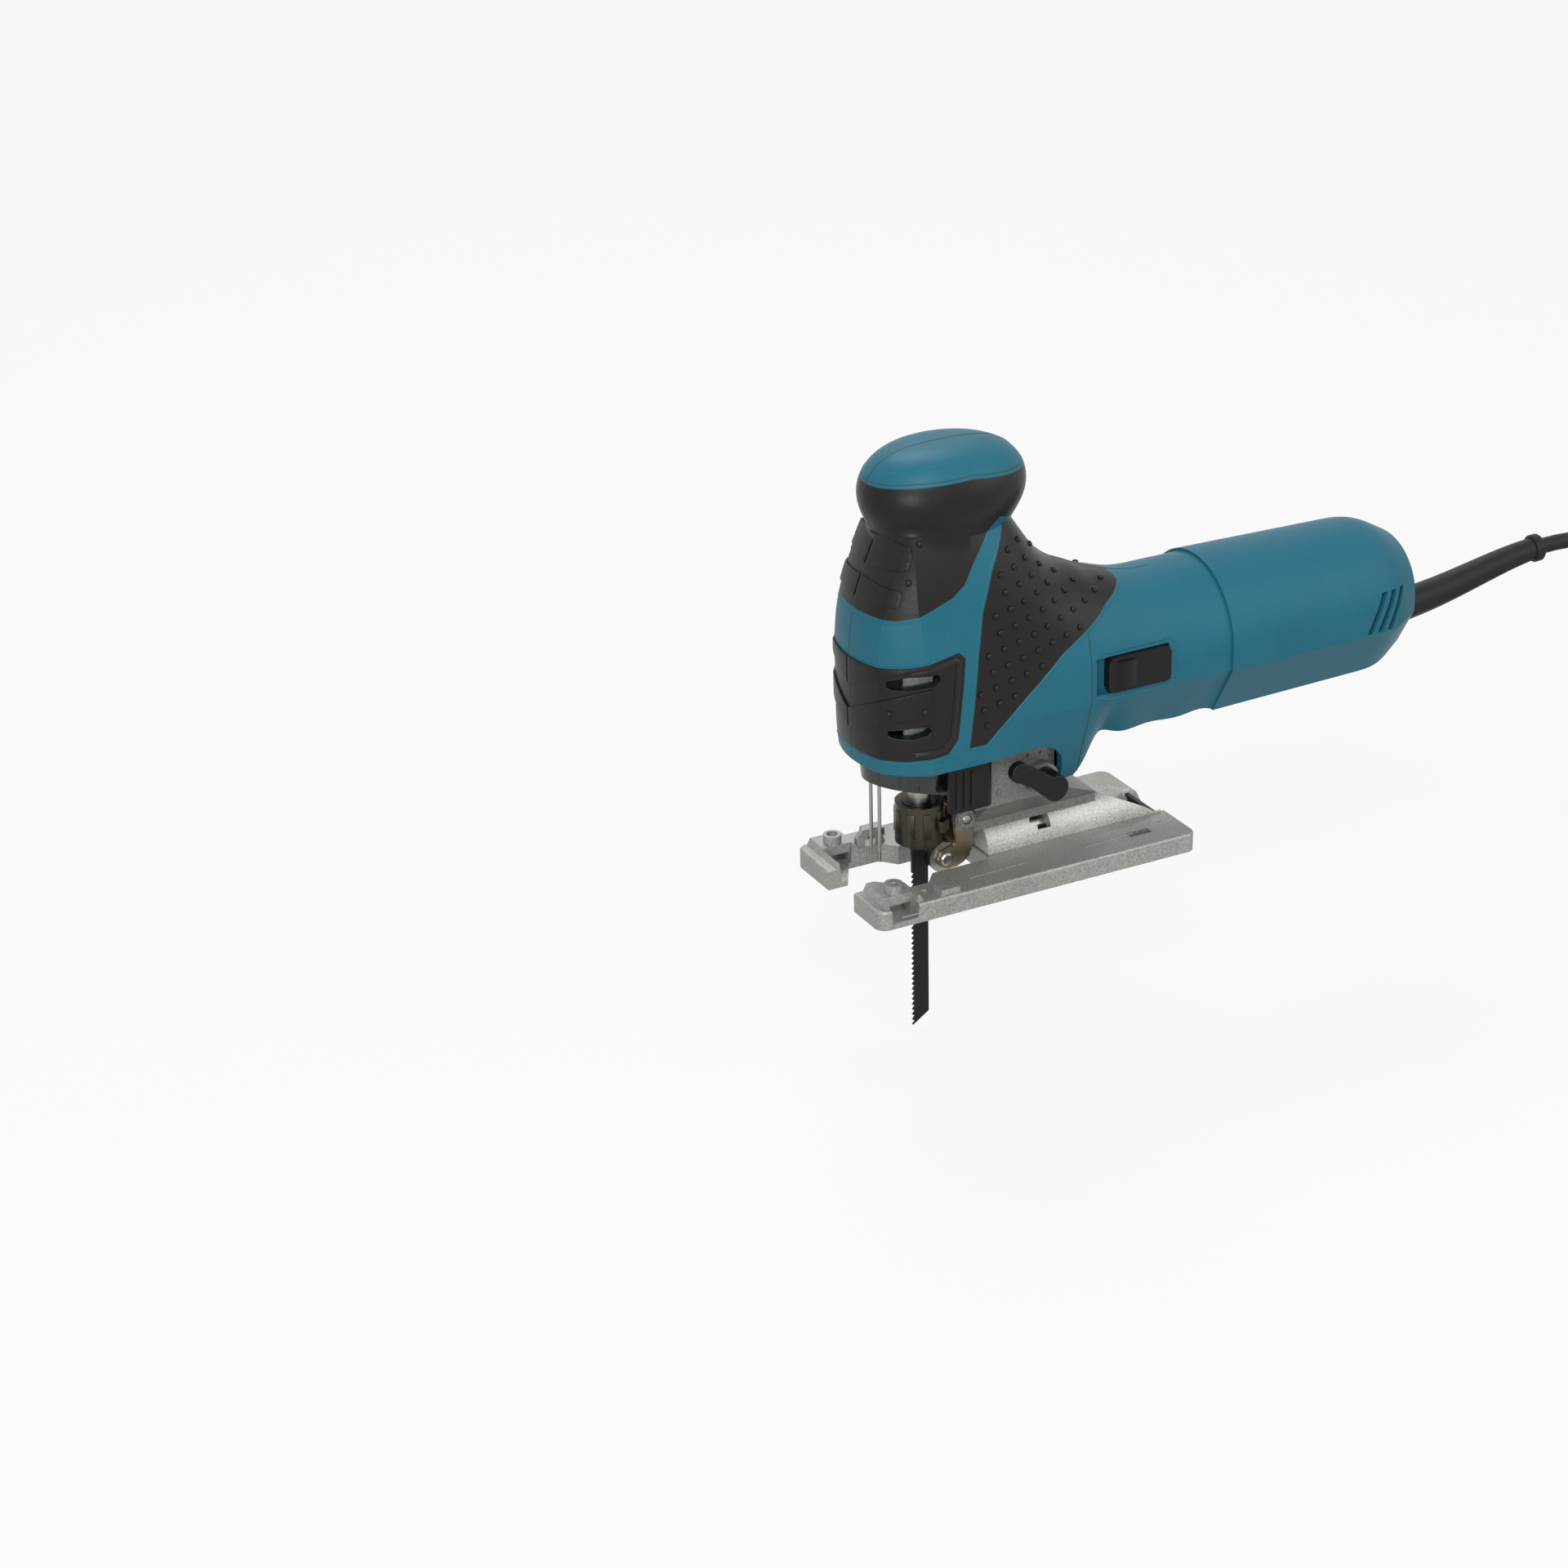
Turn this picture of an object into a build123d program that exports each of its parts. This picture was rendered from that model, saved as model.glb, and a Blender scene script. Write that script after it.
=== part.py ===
"""A barrel-grip jigsaw: handle, motor, gearing, plunger with its blade, tilting base and mains cord.

Millimetres, +Z up. The origin is the centre of the base's sole. The tool cuts towards -X and its left
side, with the slide switch and the orbit lever, faces -Y.
"""
import math
import os

from build123d import *

os.makedirs("parts", exist_ok=True)

# Clearances
running_fit = 0.08
slip = 0.3
seat_gap = 0.1

# Reach of the cuts that pass right through: half across the tool, and along a bore
cut_half_span = 60.0
cut_length = 40.0

# Base
base_length = 159.0
base_width = 76.0
base_thickness = 8.8
base_corner = 5.0
base_top_round = 1.2
prong_height = 12.0
prong_inset = 2.0
prong_rear_x = -59.0
prong_ramp = 2.0
tilt_axis_z = 10.0
tilt_limit = 45.0
hump_radius = 13.0
hump_front_x = -12.0
blade_gap_half = 15.0
wide_gap_half = 22.0
mouth_left = 15.0
mouth_right = 8.0
fence_x = -67.0
fence_slot_width = 12.0
fence_slot_height = 5.0
fence_slot_floor = 2.6
fence_screw_pitch = 55.0
fence_screw_bore = 5.0
fence_boss_diameter = 8.0
fence_boss_top = 16.0
fence_notch_flare = 2.0
rib_front_x = -50.0
rib_rear_x = -39.0
rib_top = 11.6
rib_outer_y = 36.5
rib_inner_y = 30.0
ear_y = 23.7
ear_thickness = 2.4
hook_hole_x = 57.0
hook_hole_y = -25.8
hook_hole_length = 11.0
hook_hole_width = 4.4
hook_hole_depth = 4.0
hump_hole_x = 13.0
hump_hole_radius = 2.4
hump_hole_turn = 48.0
dimple_radius = 1.3
dimple_depth = 0.7
base_dimples = ((-52.6, -28.0), (-52.6, 28.0), (70.8, -20.0), (70.8, 20.0))
trough_radius = 15.3
trough_floor = 3.0
trough_front_x = 70.0
ramp_top_x = 46.0
end_plate_x = 73.5
end_plate_thickness = 2.0
clamp_x = 17.0
clamp_bolt_diameter = 6.0
clamp_bolt_length = 21.0
clamp_head_width = 10.0
clamp_head_height = 5.0
clamp_washer_length = 14.0
clamp_hollow_radius = 8.5
clamp_hollow_length = 30.0
clamp_key_bore = 9.0

# Gear housing
foot_front_x = -17.0
foot_rear_x = 44.8
foot_half_width = 8.5
foot_strip_top = 24.0
wall_half_width = 20.0
wall_bottom = 36.0
wall_front_x = -23.0
wall_rear_x = 16.5
case_front_x = -50.0
case_rear_x = 12.0
case_half_width = 24.0
case_floor_bottom = 66.0
case_floor_top = 80.0
case_roof_bottom = 132.5
case_roof_top = 142.0
case_wall = 3.5
case_step_x = -9.0
case_step_top = 121.0
case_step_chamfer = 5.0

# Blade, clamp and plunger
blade_back_x = -35.0
blade_width = 8.0
blade_thickness = 1.2
blade_tip_z = -72.0
blade_top_z = 34.0
tooth_pitch = 2.5
tooth_depth = 1.5
teeth_top_z = 3.0
stroke = 26.0
clamp_radius = 8.0
clamp_bottom = 18.3
clamp_top = 37.5
serrated_radius = 6.75
serrated_bottom = 16.2
collar_wall = 2.5
collar_lug = 3.0
rod_radius = 5.0
rod_top = 148.0
yoke_half_width = 18.5
yoke_height = 14.0
yoke_depth = 9.0
bush_radius = 8.0

# Gearing and motor
motor_axis_z = 89.5
gear_module = 0.8
pinion_teeth = 9
gear_teeth = 42
gear_front_x = -21.5
gear_thickness = 8.0
crank_pin_radius = 2.2
gear_axle_radius = 4.0
gear_bearing_radius = 7.0
bearing_width = 8.0
front_bearing_x = 3.0
front_bearing_radius = 11.0
rear_bearing_radius = 9.5
rear_bearing_x = 140.0
shaft_radius = 4.0
fan_x = 36.0
fan_radius = 25.5
fan_thickness = 10.0
fan_blades = 12
core_radius = 18.0
core_front_x = 56.0
core_length = 39.0
air_gap = 1.2
field_radius = 28.9
field_flat = 28.0
commutator_x = 113.0
commutator_length = 16.0
commutator_radius = 13.0
brush_width = 8.0
brush_height = 6.0
brush_length = 10.0
holder_wall = 2.0

# Handle, motor housing and rear cover
shell_wall = 3.4
grip_depth = 1.6
barrel_half_width = 33.0
barrel_top = 122.5
barrel_bottom = 57.0
crease_z = 80.0
handle_half_width = 32.4
handle_peak = 186.0
shell_bottom = 63.5
leg_front_x = 17.0
leg_rear_x = 24.5
leg_bottom = 43.0
seam_x = 27.0
housing_rear_x = 98.0
knob_x = -27.4
knob_length = 74.8
knob_width = 54.8
knob_top = 199.0
sleeve_radius = 28.5
sleeve_wall = 2.5
sleeve_rear_x = 152.0
cover_half_width = 34.3
cover_wall = 3.0
cover_rear_x = 203.5
vent_width = 2.8
vent_height = 18.0
vent_lean = 8.0
vent_pitch = 5.5
vent_first_x = 170.0
vent_bottom = 81.0

# Controls
lever_x = 9.0
lever_z = 45.0
lever_hub_radius = 6.0
lever_length = 20.8
lever_tip_radius = 4.6
lever_edge_round = 0.8
lever_rise = 32.0
lever_outer_y = -35.0
lever_arm_inner_y = -31.2
lever_hub_inner_y = -24.0
orbit_shaft_radius = 4.0
switch_front_x = 34.7
switch_length = 31.3
switch_bottom = 83.0
switch_height = 16.0
switch_travel = 5.0
switch_outer_y = -34.2
switch_hump_y = -35.5
switch_hump_length = 11.0
switch_inner_y = -30.0
rod_inner_y = -25.9
rod_strip = 2.0
rod_neck_inset = 8.0
rod_half_height = 2.0
rod_rear_x = 53.0
switch_unit_length = 12.8
switch_unit_outer_y = -26.0
switch_unit_inner_y = -8.0
switch_unit_bottom = 80.0
switch_unit_top = 98.0
opener_hinge_x = -22.0
opener_hinge_y = -26.0
opener_length = 18.0
opener_bottom = 42.0
opener_top = 62.0
opener_thickness = 5.0
opener_round = 2.0
opener_pin_radius = 1.5
opener_knuckle_radius = 3.2
dial_x = 191.5
dial_z = 95.5
dial_radius = 14.0
dial_width = 7.0
dial_pin_radius = 2.0
dial_notches = 24
dial_notch_radius = 0.7
cheek_thickness = 2.0
cheek_half_height = 4.5
controller_rear_x = 176.0
controller_half_width = 12.0
controller_bottom = 84.0
controller_top = 108.0

# Roller, guard wires and dust cover
roller_groove_radius = 6.0
roller_groove_depth = 1.0
roller_width = 7.6
roller_z = 8.6
roller_pin_radius = 2.0
arm_pivot_x = -21.0
arm_pivot_z = 27.5
arm_plate = 1.8
arm_half_width = 6.0
ear_half_width = 9.5
wire_diameter = 1.6
wire_x = -60.5
wire_spacing = 7.5
wire_bottom = 14.5
dust_centre_x = -30.0
dust_rear_x = -26.0
dust_top_reach = 36.5
dust_top_half = 23.5
dust_foot_reach = 34.5
dust_foot_half = 18.0
dust_foot_z = 40.0
dust_lip_front_z = 53.0
dust_lip_rear_z = 44.0
dust_wall = 1.8

# Mains cord
cord_diameter = 7.3
guard_root_radius = 7.8
guard_tip_radius = 5.0
guard_z = 74.4
guard_front_x = 198.5
guard_tip = (290.0, 0.0, 88.0)
floor_z = -74.0
coil_x = 391.0
coil_start_y = 23.0
coil_inner_radius = 29.5
coil_pitch = 9.2
coil_layers = 4
coil_turns_per_layer = 2.0
coil_layer_rise = 8.2
coil_tail = 48.0
plug_length = 38.0
plug_width = 22.0
plug_height = 24.0
tie_thickness = 1.0
tie_width = 9.0

# Values worked out from the sizes above
collar_x = blade_back_x - blade_width / 2
gear_pitch_radius = gear_module * gear_teeth / 2
pinion_pitch_radius = gear_module * pinion_teeth / 2
gear_axis_z = motor_axis_z + gear_pitch_radius + pinion_pitch_radius
crank_radius = stroke / 2
yoke_z = gear_axis_z - crank_radius
roller_x = blade_back_x + seat_gap + roller_groove_radius
gear_rear_x = gear_front_x + gear_thickness
yoke_rear_x = gear_front_x - 4.0


def barrel_section(x, half_width, shoulder, peak, crease, bottom_half, bottom, inset):
    """One closed cross-section of a housing at x: elliptical top, upright sides, facets below the crease."""
    w = half_width - inset
    with BuildSketch(Plane.YZ.offset(x)) as section:
        with BuildLine():
            EllipticalCenterArc((0, shoulder), w, peak - shoulder - inset, start_angle=0, arc_size=180)
            Polyline(
                (-w, shoulder),
                (-w, crease),
                (-(bottom_half - inset), bottom + inset),
                (bottom_half - inset, bottom + inset),
                (w, crease),
                (w, shoulder),
            )
        make_face()
    return section.sketch


def nose_section(z, seam, inset):
    """Plan outline at height z that shapes the handle's front: a shallow face between two creases."""
    crease_half = 19.0 - inset / 2
    crease_x = seam + 3.6 + inset
    bulge_x = seam + 15.0 + inset
    bulge_half = 28.6 - inset
    side_x = seam + 34.0
    side_half = handle_half_width + 2.0 - inset
    rear_x = housing_rear_x + 10.0
    with BuildSketch(Plane.XY.offset(z)) as section:
        with BuildLine():
            ThreePointArc((crease_x, -crease_half), (seam + inset, 0), (crease_x, crease_half))
            ThreePointArc((crease_x, crease_half), (bulge_x, bulge_half), (side_x, side_half))
            Polyline(
                (side_x, side_half),
                (rear_x, side_half + 6.0),
                (rear_x, -side_half - 6.0),
                (side_x, -side_half),
            )
            ThreePointArc((side_x, -side_half), (bulge_x, -bulge_half), (crease_x, -crease_half))
        make_face()
    return section.sketch


def knob_body(inset):
    """The front knob: elliptical sections from the neck, out to the rim and up over the dome."""
    half_length = knob_length / 2
    half_width = knob_width / 2
    levels = (
        (knob_top - 49.0, 0.59, 0.48),
        (knob_top - 42.0, 0.75, 0.68),
        (knob_top - 35.0, 0.855, 0.80),
        (knob_top - 28.0, 0.955, 0.925),
        (knob_top - 21.0, 1.0, 1.0),
        (knob_top - 14.0, 0.975, 0.975),
        (knob_top - 7.0, 0.845, 0.845),
        (knob_top - 2.7, 0.65, 0.65),
        (knob_top - 0.6, 0.41, 0.41),
        (knob_top, 0.17, 0.17),
    )
    lowest = levels[0][0]
    with BuildPart() as knob:
        for z, along, across in levels:
            drop = inset * (z - lowest) / (knob_top - lowest)
            reach = half_length * along - inset
            spread = half_width * across - inset
            with BuildSketch(Plane.XY.offset(z - drop)):
                with BuildLine():
                    EllipticalCenterArc((knob_x, 0), reach, spread, start_angle=0, arc_size=180)
                    EllipticalCenterArc((knob_x, 0), reach, spread, start_angle=180, arc_size=180)
                make_face()
        loft()
    return knob.part


def side_prism(outline):
    """A prism across the tool with the given side-view outline."""
    with BuildPart() as prism:
        with BuildSketch(Plane.XZ.offset(-cut_half_span)):
            with BuildLine():
                Polyline(*outline, close=True)
            make_face()
        extrude(amount=2 * cut_half_span)
    return prism.part


def housing_envelope(inset):
    """Outer form of the handle and the motor housing, drawn in by inset all round."""
    w = handle_half_width
    b = barrel_half_width
    stations = (
        (w, handle_peak, w - 1.5, 40.0),
        (w, 179.5, w - 4.0, 40.0),
        (w, 166.0, w - 6.5, 40.0),
        (w, 148.5, w - 8.5, 40.0),
        (b - 0.2, 137.5, 22.0, 42.0),
        (b, 131.8, 20.0, barrel_bottom - 1.0),
        (b, 127.2, 19.0, barrel_bottom),
        (b, 123.7, 19.0, barrel_bottom),
        (b, barrel_top, 19.0, barrel_bottom),
    )
    stations = stations[:1] * 6 + stations + stations[-1:] * 3
    front_station_x = -96.0
    station_step = 12.0
    seam_line = (
        (36.0, -71.0),
        (66.0, -71.4),
        (90.0, -72.3),
        (112.0, -72.3),
        (133.0, -69.8),
        (148.0, -64.8),
        (158.0, -60.4),
        (170.0, -54.5),
    )
    side_view = (
        (-90.0, shell_bottom),
        (leg_front_x - 13.0, shell_bottom),
        (leg_front_x - 8.0, shell_bottom - 1.2),
        (leg_front_x - 4.0, shell_bottom - 4.0),
        (leg_front_x - 1.0, shell_bottom - 8.0),
        (leg_front_x, shell_bottom - 12.5),
        (leg_front_x, leg_bottom),
        (leg_rear_x, leg_bottom),
        (leg_rear_x, 30.0),
        (housing_rear_x, 30.0),
        (housing_rear_x, 166.0),
        (-90.0, 166.0),
    )
    body_below = side_prism(side_view)
    ribs = [
        barrel_section(front_station_x + station_step * i, half, motor_axis_z, peak, crease_z, foot, zb, inset)
        for i, (half, peak, foot, zb) in enumerate(stations)
    ]
    nose = loft([nose_section(z, seam, inset) for z, seam in seam_line])
    knob = knob_body(inset)
    with BuildPart() as envelope:
        loft(ribs)
        add(nose, mode=Mode.INTERSECT)
        add(body_below, mode=Mode.INTERSECT)
        add(knob)
    return envelope.part


outer_form = housing_envelope(0.0)
skin_form = housing_envelope(grip_depth)
inner_form = housing_envelope(shell_wall)

knob_grip_outline = (
    (-95.0, 133.0),
    (-62.0, 133.0),
    (-50.0, 136.0),
    (-38.0, 139.8),
    (-32.0, 144.0),
    (-26.5, 152.0),
    (-12.0, 169.0),
    (-5.0, 166.0),
    (24.0, 160.5),
    (24.0, 184.0),
    (-8.0, 186.6),
    (-27.0, 189.0),
    (-50.0, 187.6),
    (-95.0, 183.0),
)
side_grip_outline = (
    (-32.4, 72.4),
    (-27.7, 113.0),
    (-24.5, 131.0),
    (-18.0, 147.0),
    (-8.0, 163.8),
    (24.0, 158.0),
    (53.0, 140.0),
    (53.0, 124.0),
    (40.0, 119.5),
    (13.6, 105.5),
    (-6.0, 89.0),
    (-24.2, 72.4),
)
vent_panel_outline = (
    (-95.0, 110.5),
    (-60.0, 112.5),
    (-37.0, 116.5),
    (-34.0, 113.5),
    (-38.0, 78.0),
    (-42.5, 72.0),
    (-60.0, 70.2),
    (-95.0, 70.0),
)
motor_region_outline = (
    (seam_x, 20.0),
    (seam_x, 112.4),
    (40.0, 119.5),
    (53.0, 124.0),
    (53.0, 160.0),
    (housing_rear_x, 160.0),
    (housing_rear_x, 20.0),
)
vent_slot_outlines = (
    (
        (-66.5, 103.4),
        (-64.5, 102.4),
        (-59.0, 102.4),
        (-48.0, 104.4),
        (-45.8, 106.6),
        (-47.0, 109.6),
        (-59.0, 109.0),
        (-66.5, 106.6),
    ),
    (
        (-66.0, 81.6),
        (-64.0, 80.4),
        (-57.6, 80.3),
        (-52.0, 82.0),
        (-50.2, 84.2),
        (-51.4, 86.4),
        (-57.6, 85.9),
        (-66.0, 84.2),
    ),
)
knob_grip_region = side_prism(knob_grip_outline)
side_grip_region = side_prism(side_grip_outline)
vent_panel_region = side_prism(vent_panel_outline)
motor_region = side_prism(motor_region_outline)
vent_slots = [side_prism(outline) for outline in vent_slot_outlines]

boss_radius = 4.5
screw_radius = 2.0
screw_head_radius = 3.5
screw_head_height = 2.5
screw_seat_depth = 3.0
boss_places = ((-35.2, 74.0), (-2.0, 74.0), (-36.0, 126.0))
screw_seat_y = case_half_width + screw_seat_depth
screw_end_y = case_half_width - case_wall + slip

# The housing as one hollow form, and the thin outer layer that the grips and panels are cut from
with BuildPart() as hollow_form:
    add(outer_form)
    add(inner_form, mode=Mode.SUBTRACT)

with BuildPart() as skin_layer:
    add(outer_form)
    add(skin_form, mode=Mode.SUBTRACT)

# Posts inside the shells that rest on the gear case and take the screws
with BuildPart() as screw_posts:
    for sign in (-1, 1):
        post_reach = handle_half_width - case_half_width
        with Locations([(x, sign * (case_half_width + post_reach / 2), z) for x, z in boss_places]):
            Cylinder(boss_radius, post_reach, rotation=(90, 0, 0))
    add(skin_form, mode=Mode.INTERSECT)

# The grips are skins that fill shallow recesses in the shells
grip_regions = (
    ("knob_grip", knob_grip_region),
    ("side_grip", side_grip_region),
    ("vent_panel", vent_panel_region),
)
halves = (("left", Keep.TOP), ("right", Keep.BOTTOM))
recesses = []
for grip_name, region in grip_regions:
    with BuildPart() as recess:
        add(region)
        add(motor_region, mode=Mode.SUBTRACT)
        add(skin_form, mode=Mode.SUBTRACT)
    recesses.append(recess.part)
    for side, keep in halves:
        with BuildPart() as grip:
            add(skin_layer.part)
            add(region, mode=Mode.INTERSECT)
            add(motor_region, mode=Mode.SUBTRACT)
            if grip_name == "vent_panel":
                for vent_slot in vent_slots:
                    add(vent_slot, mode=Mode.SUBTRACT)
            split(bisect_by=Plane.XZ, keep=keep)
        grip.part.label = grip_name + "_" + side
        export_step(grip.part, "parts/" + grip_name + "_" + side + ".step")

with BuildPart() as shell_pair:
    add(hollow_form.part)
    add(motor_region, mode=Mode.SUBTRACT)
    for recess_part in recesses:
        add(recess_part, mode=Mode.SUBTRACT)
    for vent_slot in vent_slots:
        add(vent_slot, mode=Mode.SUBTRACT)
    add(screw_posts.part)

for side, keep in halves:
    with BuildPart() as handle_shell:
        add(shell_pair.part)
        split(bisect_by=Plane.XZ, keep=keep)
        if side == "right":
            with Locations([(x, screw_seat_y, z) for x, z in boss_places]):
                Cylinder(
                    screw_head_radius + seat_gap,
                    2 * screw_seat_y,
                    rotation=(-90, 0, 0),
                    align=(Align.CENTER, Align.CENTER, Align.MIN),
                    mode=Mode.SUBTRACT,
                )
            with Locations([(x, screw_seat_y, z) for x, z in boss_places]):
                Cylinder(
                    screw_radius + seat_gap,
                    2 * screw_seat_depth + 1.0,
                    rotation=(90, 0, 0),
                    mode=Mode.SUBTRACT,
                )
    handle_shell.part.label = "handle_shell_" + side
    export_step(handle_shell.part, "parts/handle_shell_" + side + ".step")

with BuildPart() as housing_screws:
    with Locations([(x, screw_seat_y + screw_head_height / 2, z) for x, z in boss_places]):
        Cylinder(screw_head_radius, screw_head_height, rotation=(90, 0, 0))
    with Locations([(x, (screw_seat_y + screw_end_y) / 2, z) for x, z in boss_places]):
        Cylinder(screw_radius, screw_seat_y - screw_end_y, rotation=(90, 0, 0))
housing_screws.part.label = "housing_screws"
export_step(housing_screws.part, "parts/housing_screws.step")

# Motor housing with the sleeve that carries the brushes and the rear bearing
flange_width = 3.0
sleeve_front_x = housing_rear_x - flange_width
sleeve_bore = sleeve_radius - sleeve_wall
rear_wall = 4.0
bore_rear_x = sleeve_rear_x - rear_wall
bearing_boss_wall = 3.0
cover_screw_y = 15.0
cover_screw_z = 78.0
cover_post_radius = 5.5
cover_screw_seat_x = sleeve_rear_x + 8.0
cover_screw_places = [(y, cover_screw_z) for y in (-cover_screw_y, cover_screw_y)]
with BuildPart() as motor_housing:
    add(hollow_form.part)
    add(motor_region, mode=Mode.INTERSECT)
    with Locations(((sleeve_front_x + housing_rear_x) / 2, 0, motor_axis_z)):
        Cylinder(barrel_half_width - 2.0, flange_width, rotation=(0, 90, 0))
    with Locations(((sleeve_front_x + sleeve_rear_x) / 2, 0, motor_axis_z)):
        Cylinder(sleeve_radius, sleeve_rear_x - sleeve_front_x, rotation=(0, 90, 0))
    with Locations(((sleeve_front_x + bore_rear_x) / 2 - 1.0, 0, motor_axis_z)):
        Cylinder(sleeve_bore, bore_rear_x - sleeve_front_x + 2.0, rotation=(0, 90, 0), mode=Mode.SUBTRACT)
    with Locations(((rear_bearing_x + sleeve_rear_x) / 2, 0, motor_axis_z)):
        Cylinder(rear_bearing_radius + bearing_boss_wall, sleeve_rear_x - rear_bearing_x, rotation=(0, 90, 0))
    with Locations((rear_bearing_x + bearing_width / 2, 0, motor_axis_z)):
        Cylinder(rear_bearing_radius, bearing_width, rotation=(0, 90, 0), mode=Mode.SUBTRACT)
    with Locations((sleeve_rear_x, 0, motor_axis_z)):
        Cylinder(shaft_radius + 1.0, 2 * rear_wall + 2.0, rotation=(0, 90, 0), mode=Mode.SUBTRACT)
    with Locations([(sleeve_rear_x, y, z) for y, z in cover_screw_places]):
        Cylinder(screw_radius, 2 * rear_wall + 2.0, rotation=(0, 90, 0), mode=Mode.SUBTRACT)
    slot_length = switch_length + switch_travel + 2 * slip
    slot_height = switch_height + 2 * slip
    slot_x = switch_front_x - switch_travel - slip + slot_length / 2
    switch_mid_z = switch_bottom + switch_height / 2
    with Locations((slot_x, -barrel_half_width, switch_mid_z)):
        Box(slot_length, 18.0, slot_height, mode=Mode.SUBTRACT)
    recess_rear_x = switch_front_x + rod_neck_inset - switch_travel - slip
    recess_floor_y = switch_inner_y + slip
    recess_back_y = rod_inner_y - rod_strip - slip
    with Locations(((seam_x + recess_rear_x) / 2, (recess_floor_y + recess_back_y) / 2, switch_mid_z)):
        Box(recess_rear_x - seam_x, recess_back_y - recess_floor_y, slot_height + 2 * slip)
motor_housing.part.label = "motor_housing"
export_step(motor_housing.part, "parts/motor_housing.step")


def cover_section(x, share, inset):
    """Cross-section of the rear cover at x, as a share of its full size."""
    s = motor_axis_z
    half = cover_half_width * share
    return barrel_section(x, half, s, s + half, s - 9.5 * share, 19.6 * share, s - 33.6 * share, inset)


def rear_cover_body(inset, rear_x):
    """Solid form of the rear cover: a slight taper, then a rounded end."""
    steps = 14
    end_round = 26.0
    end_share = 0.45
    taper = 0.055
    sections = []
    for i in range(steps + 1):
        x = housing_rear_x + (rear_x - housing_rear_x) * i / steps
        run = rear_x - x
        lean = 1.0 - taper * (x - housing_rear_x) / (rear_x - housing_rear_x)
        if run < end_round:
            lean *= end_share + (1 - end_share) * math.sqrt(1 - ((end_round - run) / end_round) ** 2)
        sections.append(cover_section(x, lean, inset))
    return loft(sections)


cover_outside = rear_cover_body(0.0, cover_rear_x)
cover_inside = rear_cover_body(cover_wall, cover_rear_x - cover_wall)
dial_slot_half = 11.4
with BuildPart() as cover_posts:
    with Locations([(sleeve_rear_x, y, z) for y, z in cover_screw_places]):
        Cylinder(
            cover_post_radius,
            cover_rear_x - sleeve_rear_x,
            rotation=(0, 90, 0),
            align=(Align.CENTER, Align.CENTER, Align.MIN),
        )
    add(cover_outside, mode=Mode.INTERSECT)

with BuildPart() as rear_cover:
    add(cover_outside)
    add(cover_inside, mode=Mode.SUBTRACT)
    add(cover_posts.part)
    for i in range(3):
        low_x = vent_first_x + vent_pitch * i
        with BuildSketch(Plane.XZ.offset(-cut_half_span)):
            with BuildLine():
                Polyline(
                    (low_x, vent_bottom),
                    (low_x + vent_width, vent_bottom),
                    (low_x + vent_width + vent_lean, vent_bottom + vent_height),
                    (low_x + vent_lean, vent_bottom + vent_height),
                    close=True,
                )
            make_face()
        extrude(amount=2 * cut_half_span, mode=Mode.SUBTRACT)
    with Locations([(cover_screw_seat_x, y, z) for y, z in cover_screw_places]):
        Cylinder(screw_radius + seat_gap, cut_length, rotation=(0, 90, 0), mode=Mode.SUBTRACT)
    with Locations([(cover_screw_seat_x, y, z) for y, z in cover_screw_places]):
        Cylinder(
            screw_head_radius + seat_gap,
            cover_rear_x - cover_screw_seat_x,
            rotation=(0, 90, 0),
            align=(Align.CENTER, Align.CENTER, Align.MIN),
            mode=Mode.SUBTRACT,
        )
    with Locations((cover_rear_x, 0, guard_z)):
        Cylinder(guard_root_radius + seat_gap, cut_length, rotation=(0, 90, 0), mode=Mode.SUBTRACT)
    with Locations((cover_rear_x, 0, dial_z)):
        Box(20.0, dial_width + 2 * slip, 2 * dial_slot_half, mode=Mode.SUBTRACT)
rear_cover.part.label = "rear_cover"
export_step(rear_cover.part, "parts/rear_cover.step")

cover_screw_end_x = bore_rear_x + slip
with BuildPart() as rear_cover_screws:
    with Locations([(cover_screw_seat_x + screw_head_height / 2, y, z) for y, z in cover_screw_places]):
        Cylinder(screw_head_radius, screw_head_height, rotation=(0, 90, 0))
    with Locations([((cover_screw_seat_x + cover_screw_end_x) / 2, y, z) for y, z in cover_screw_places]):
        Cylinder(screw_radius, cover_screw_seat_x - cover_screw_end_x, rotation=(0, 90, 0))
rear_cover_screws.part.label = "rear_cover_screws"
export_step(rear_cover_screws.part, "parts/rear_cover_screws.step")

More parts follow.
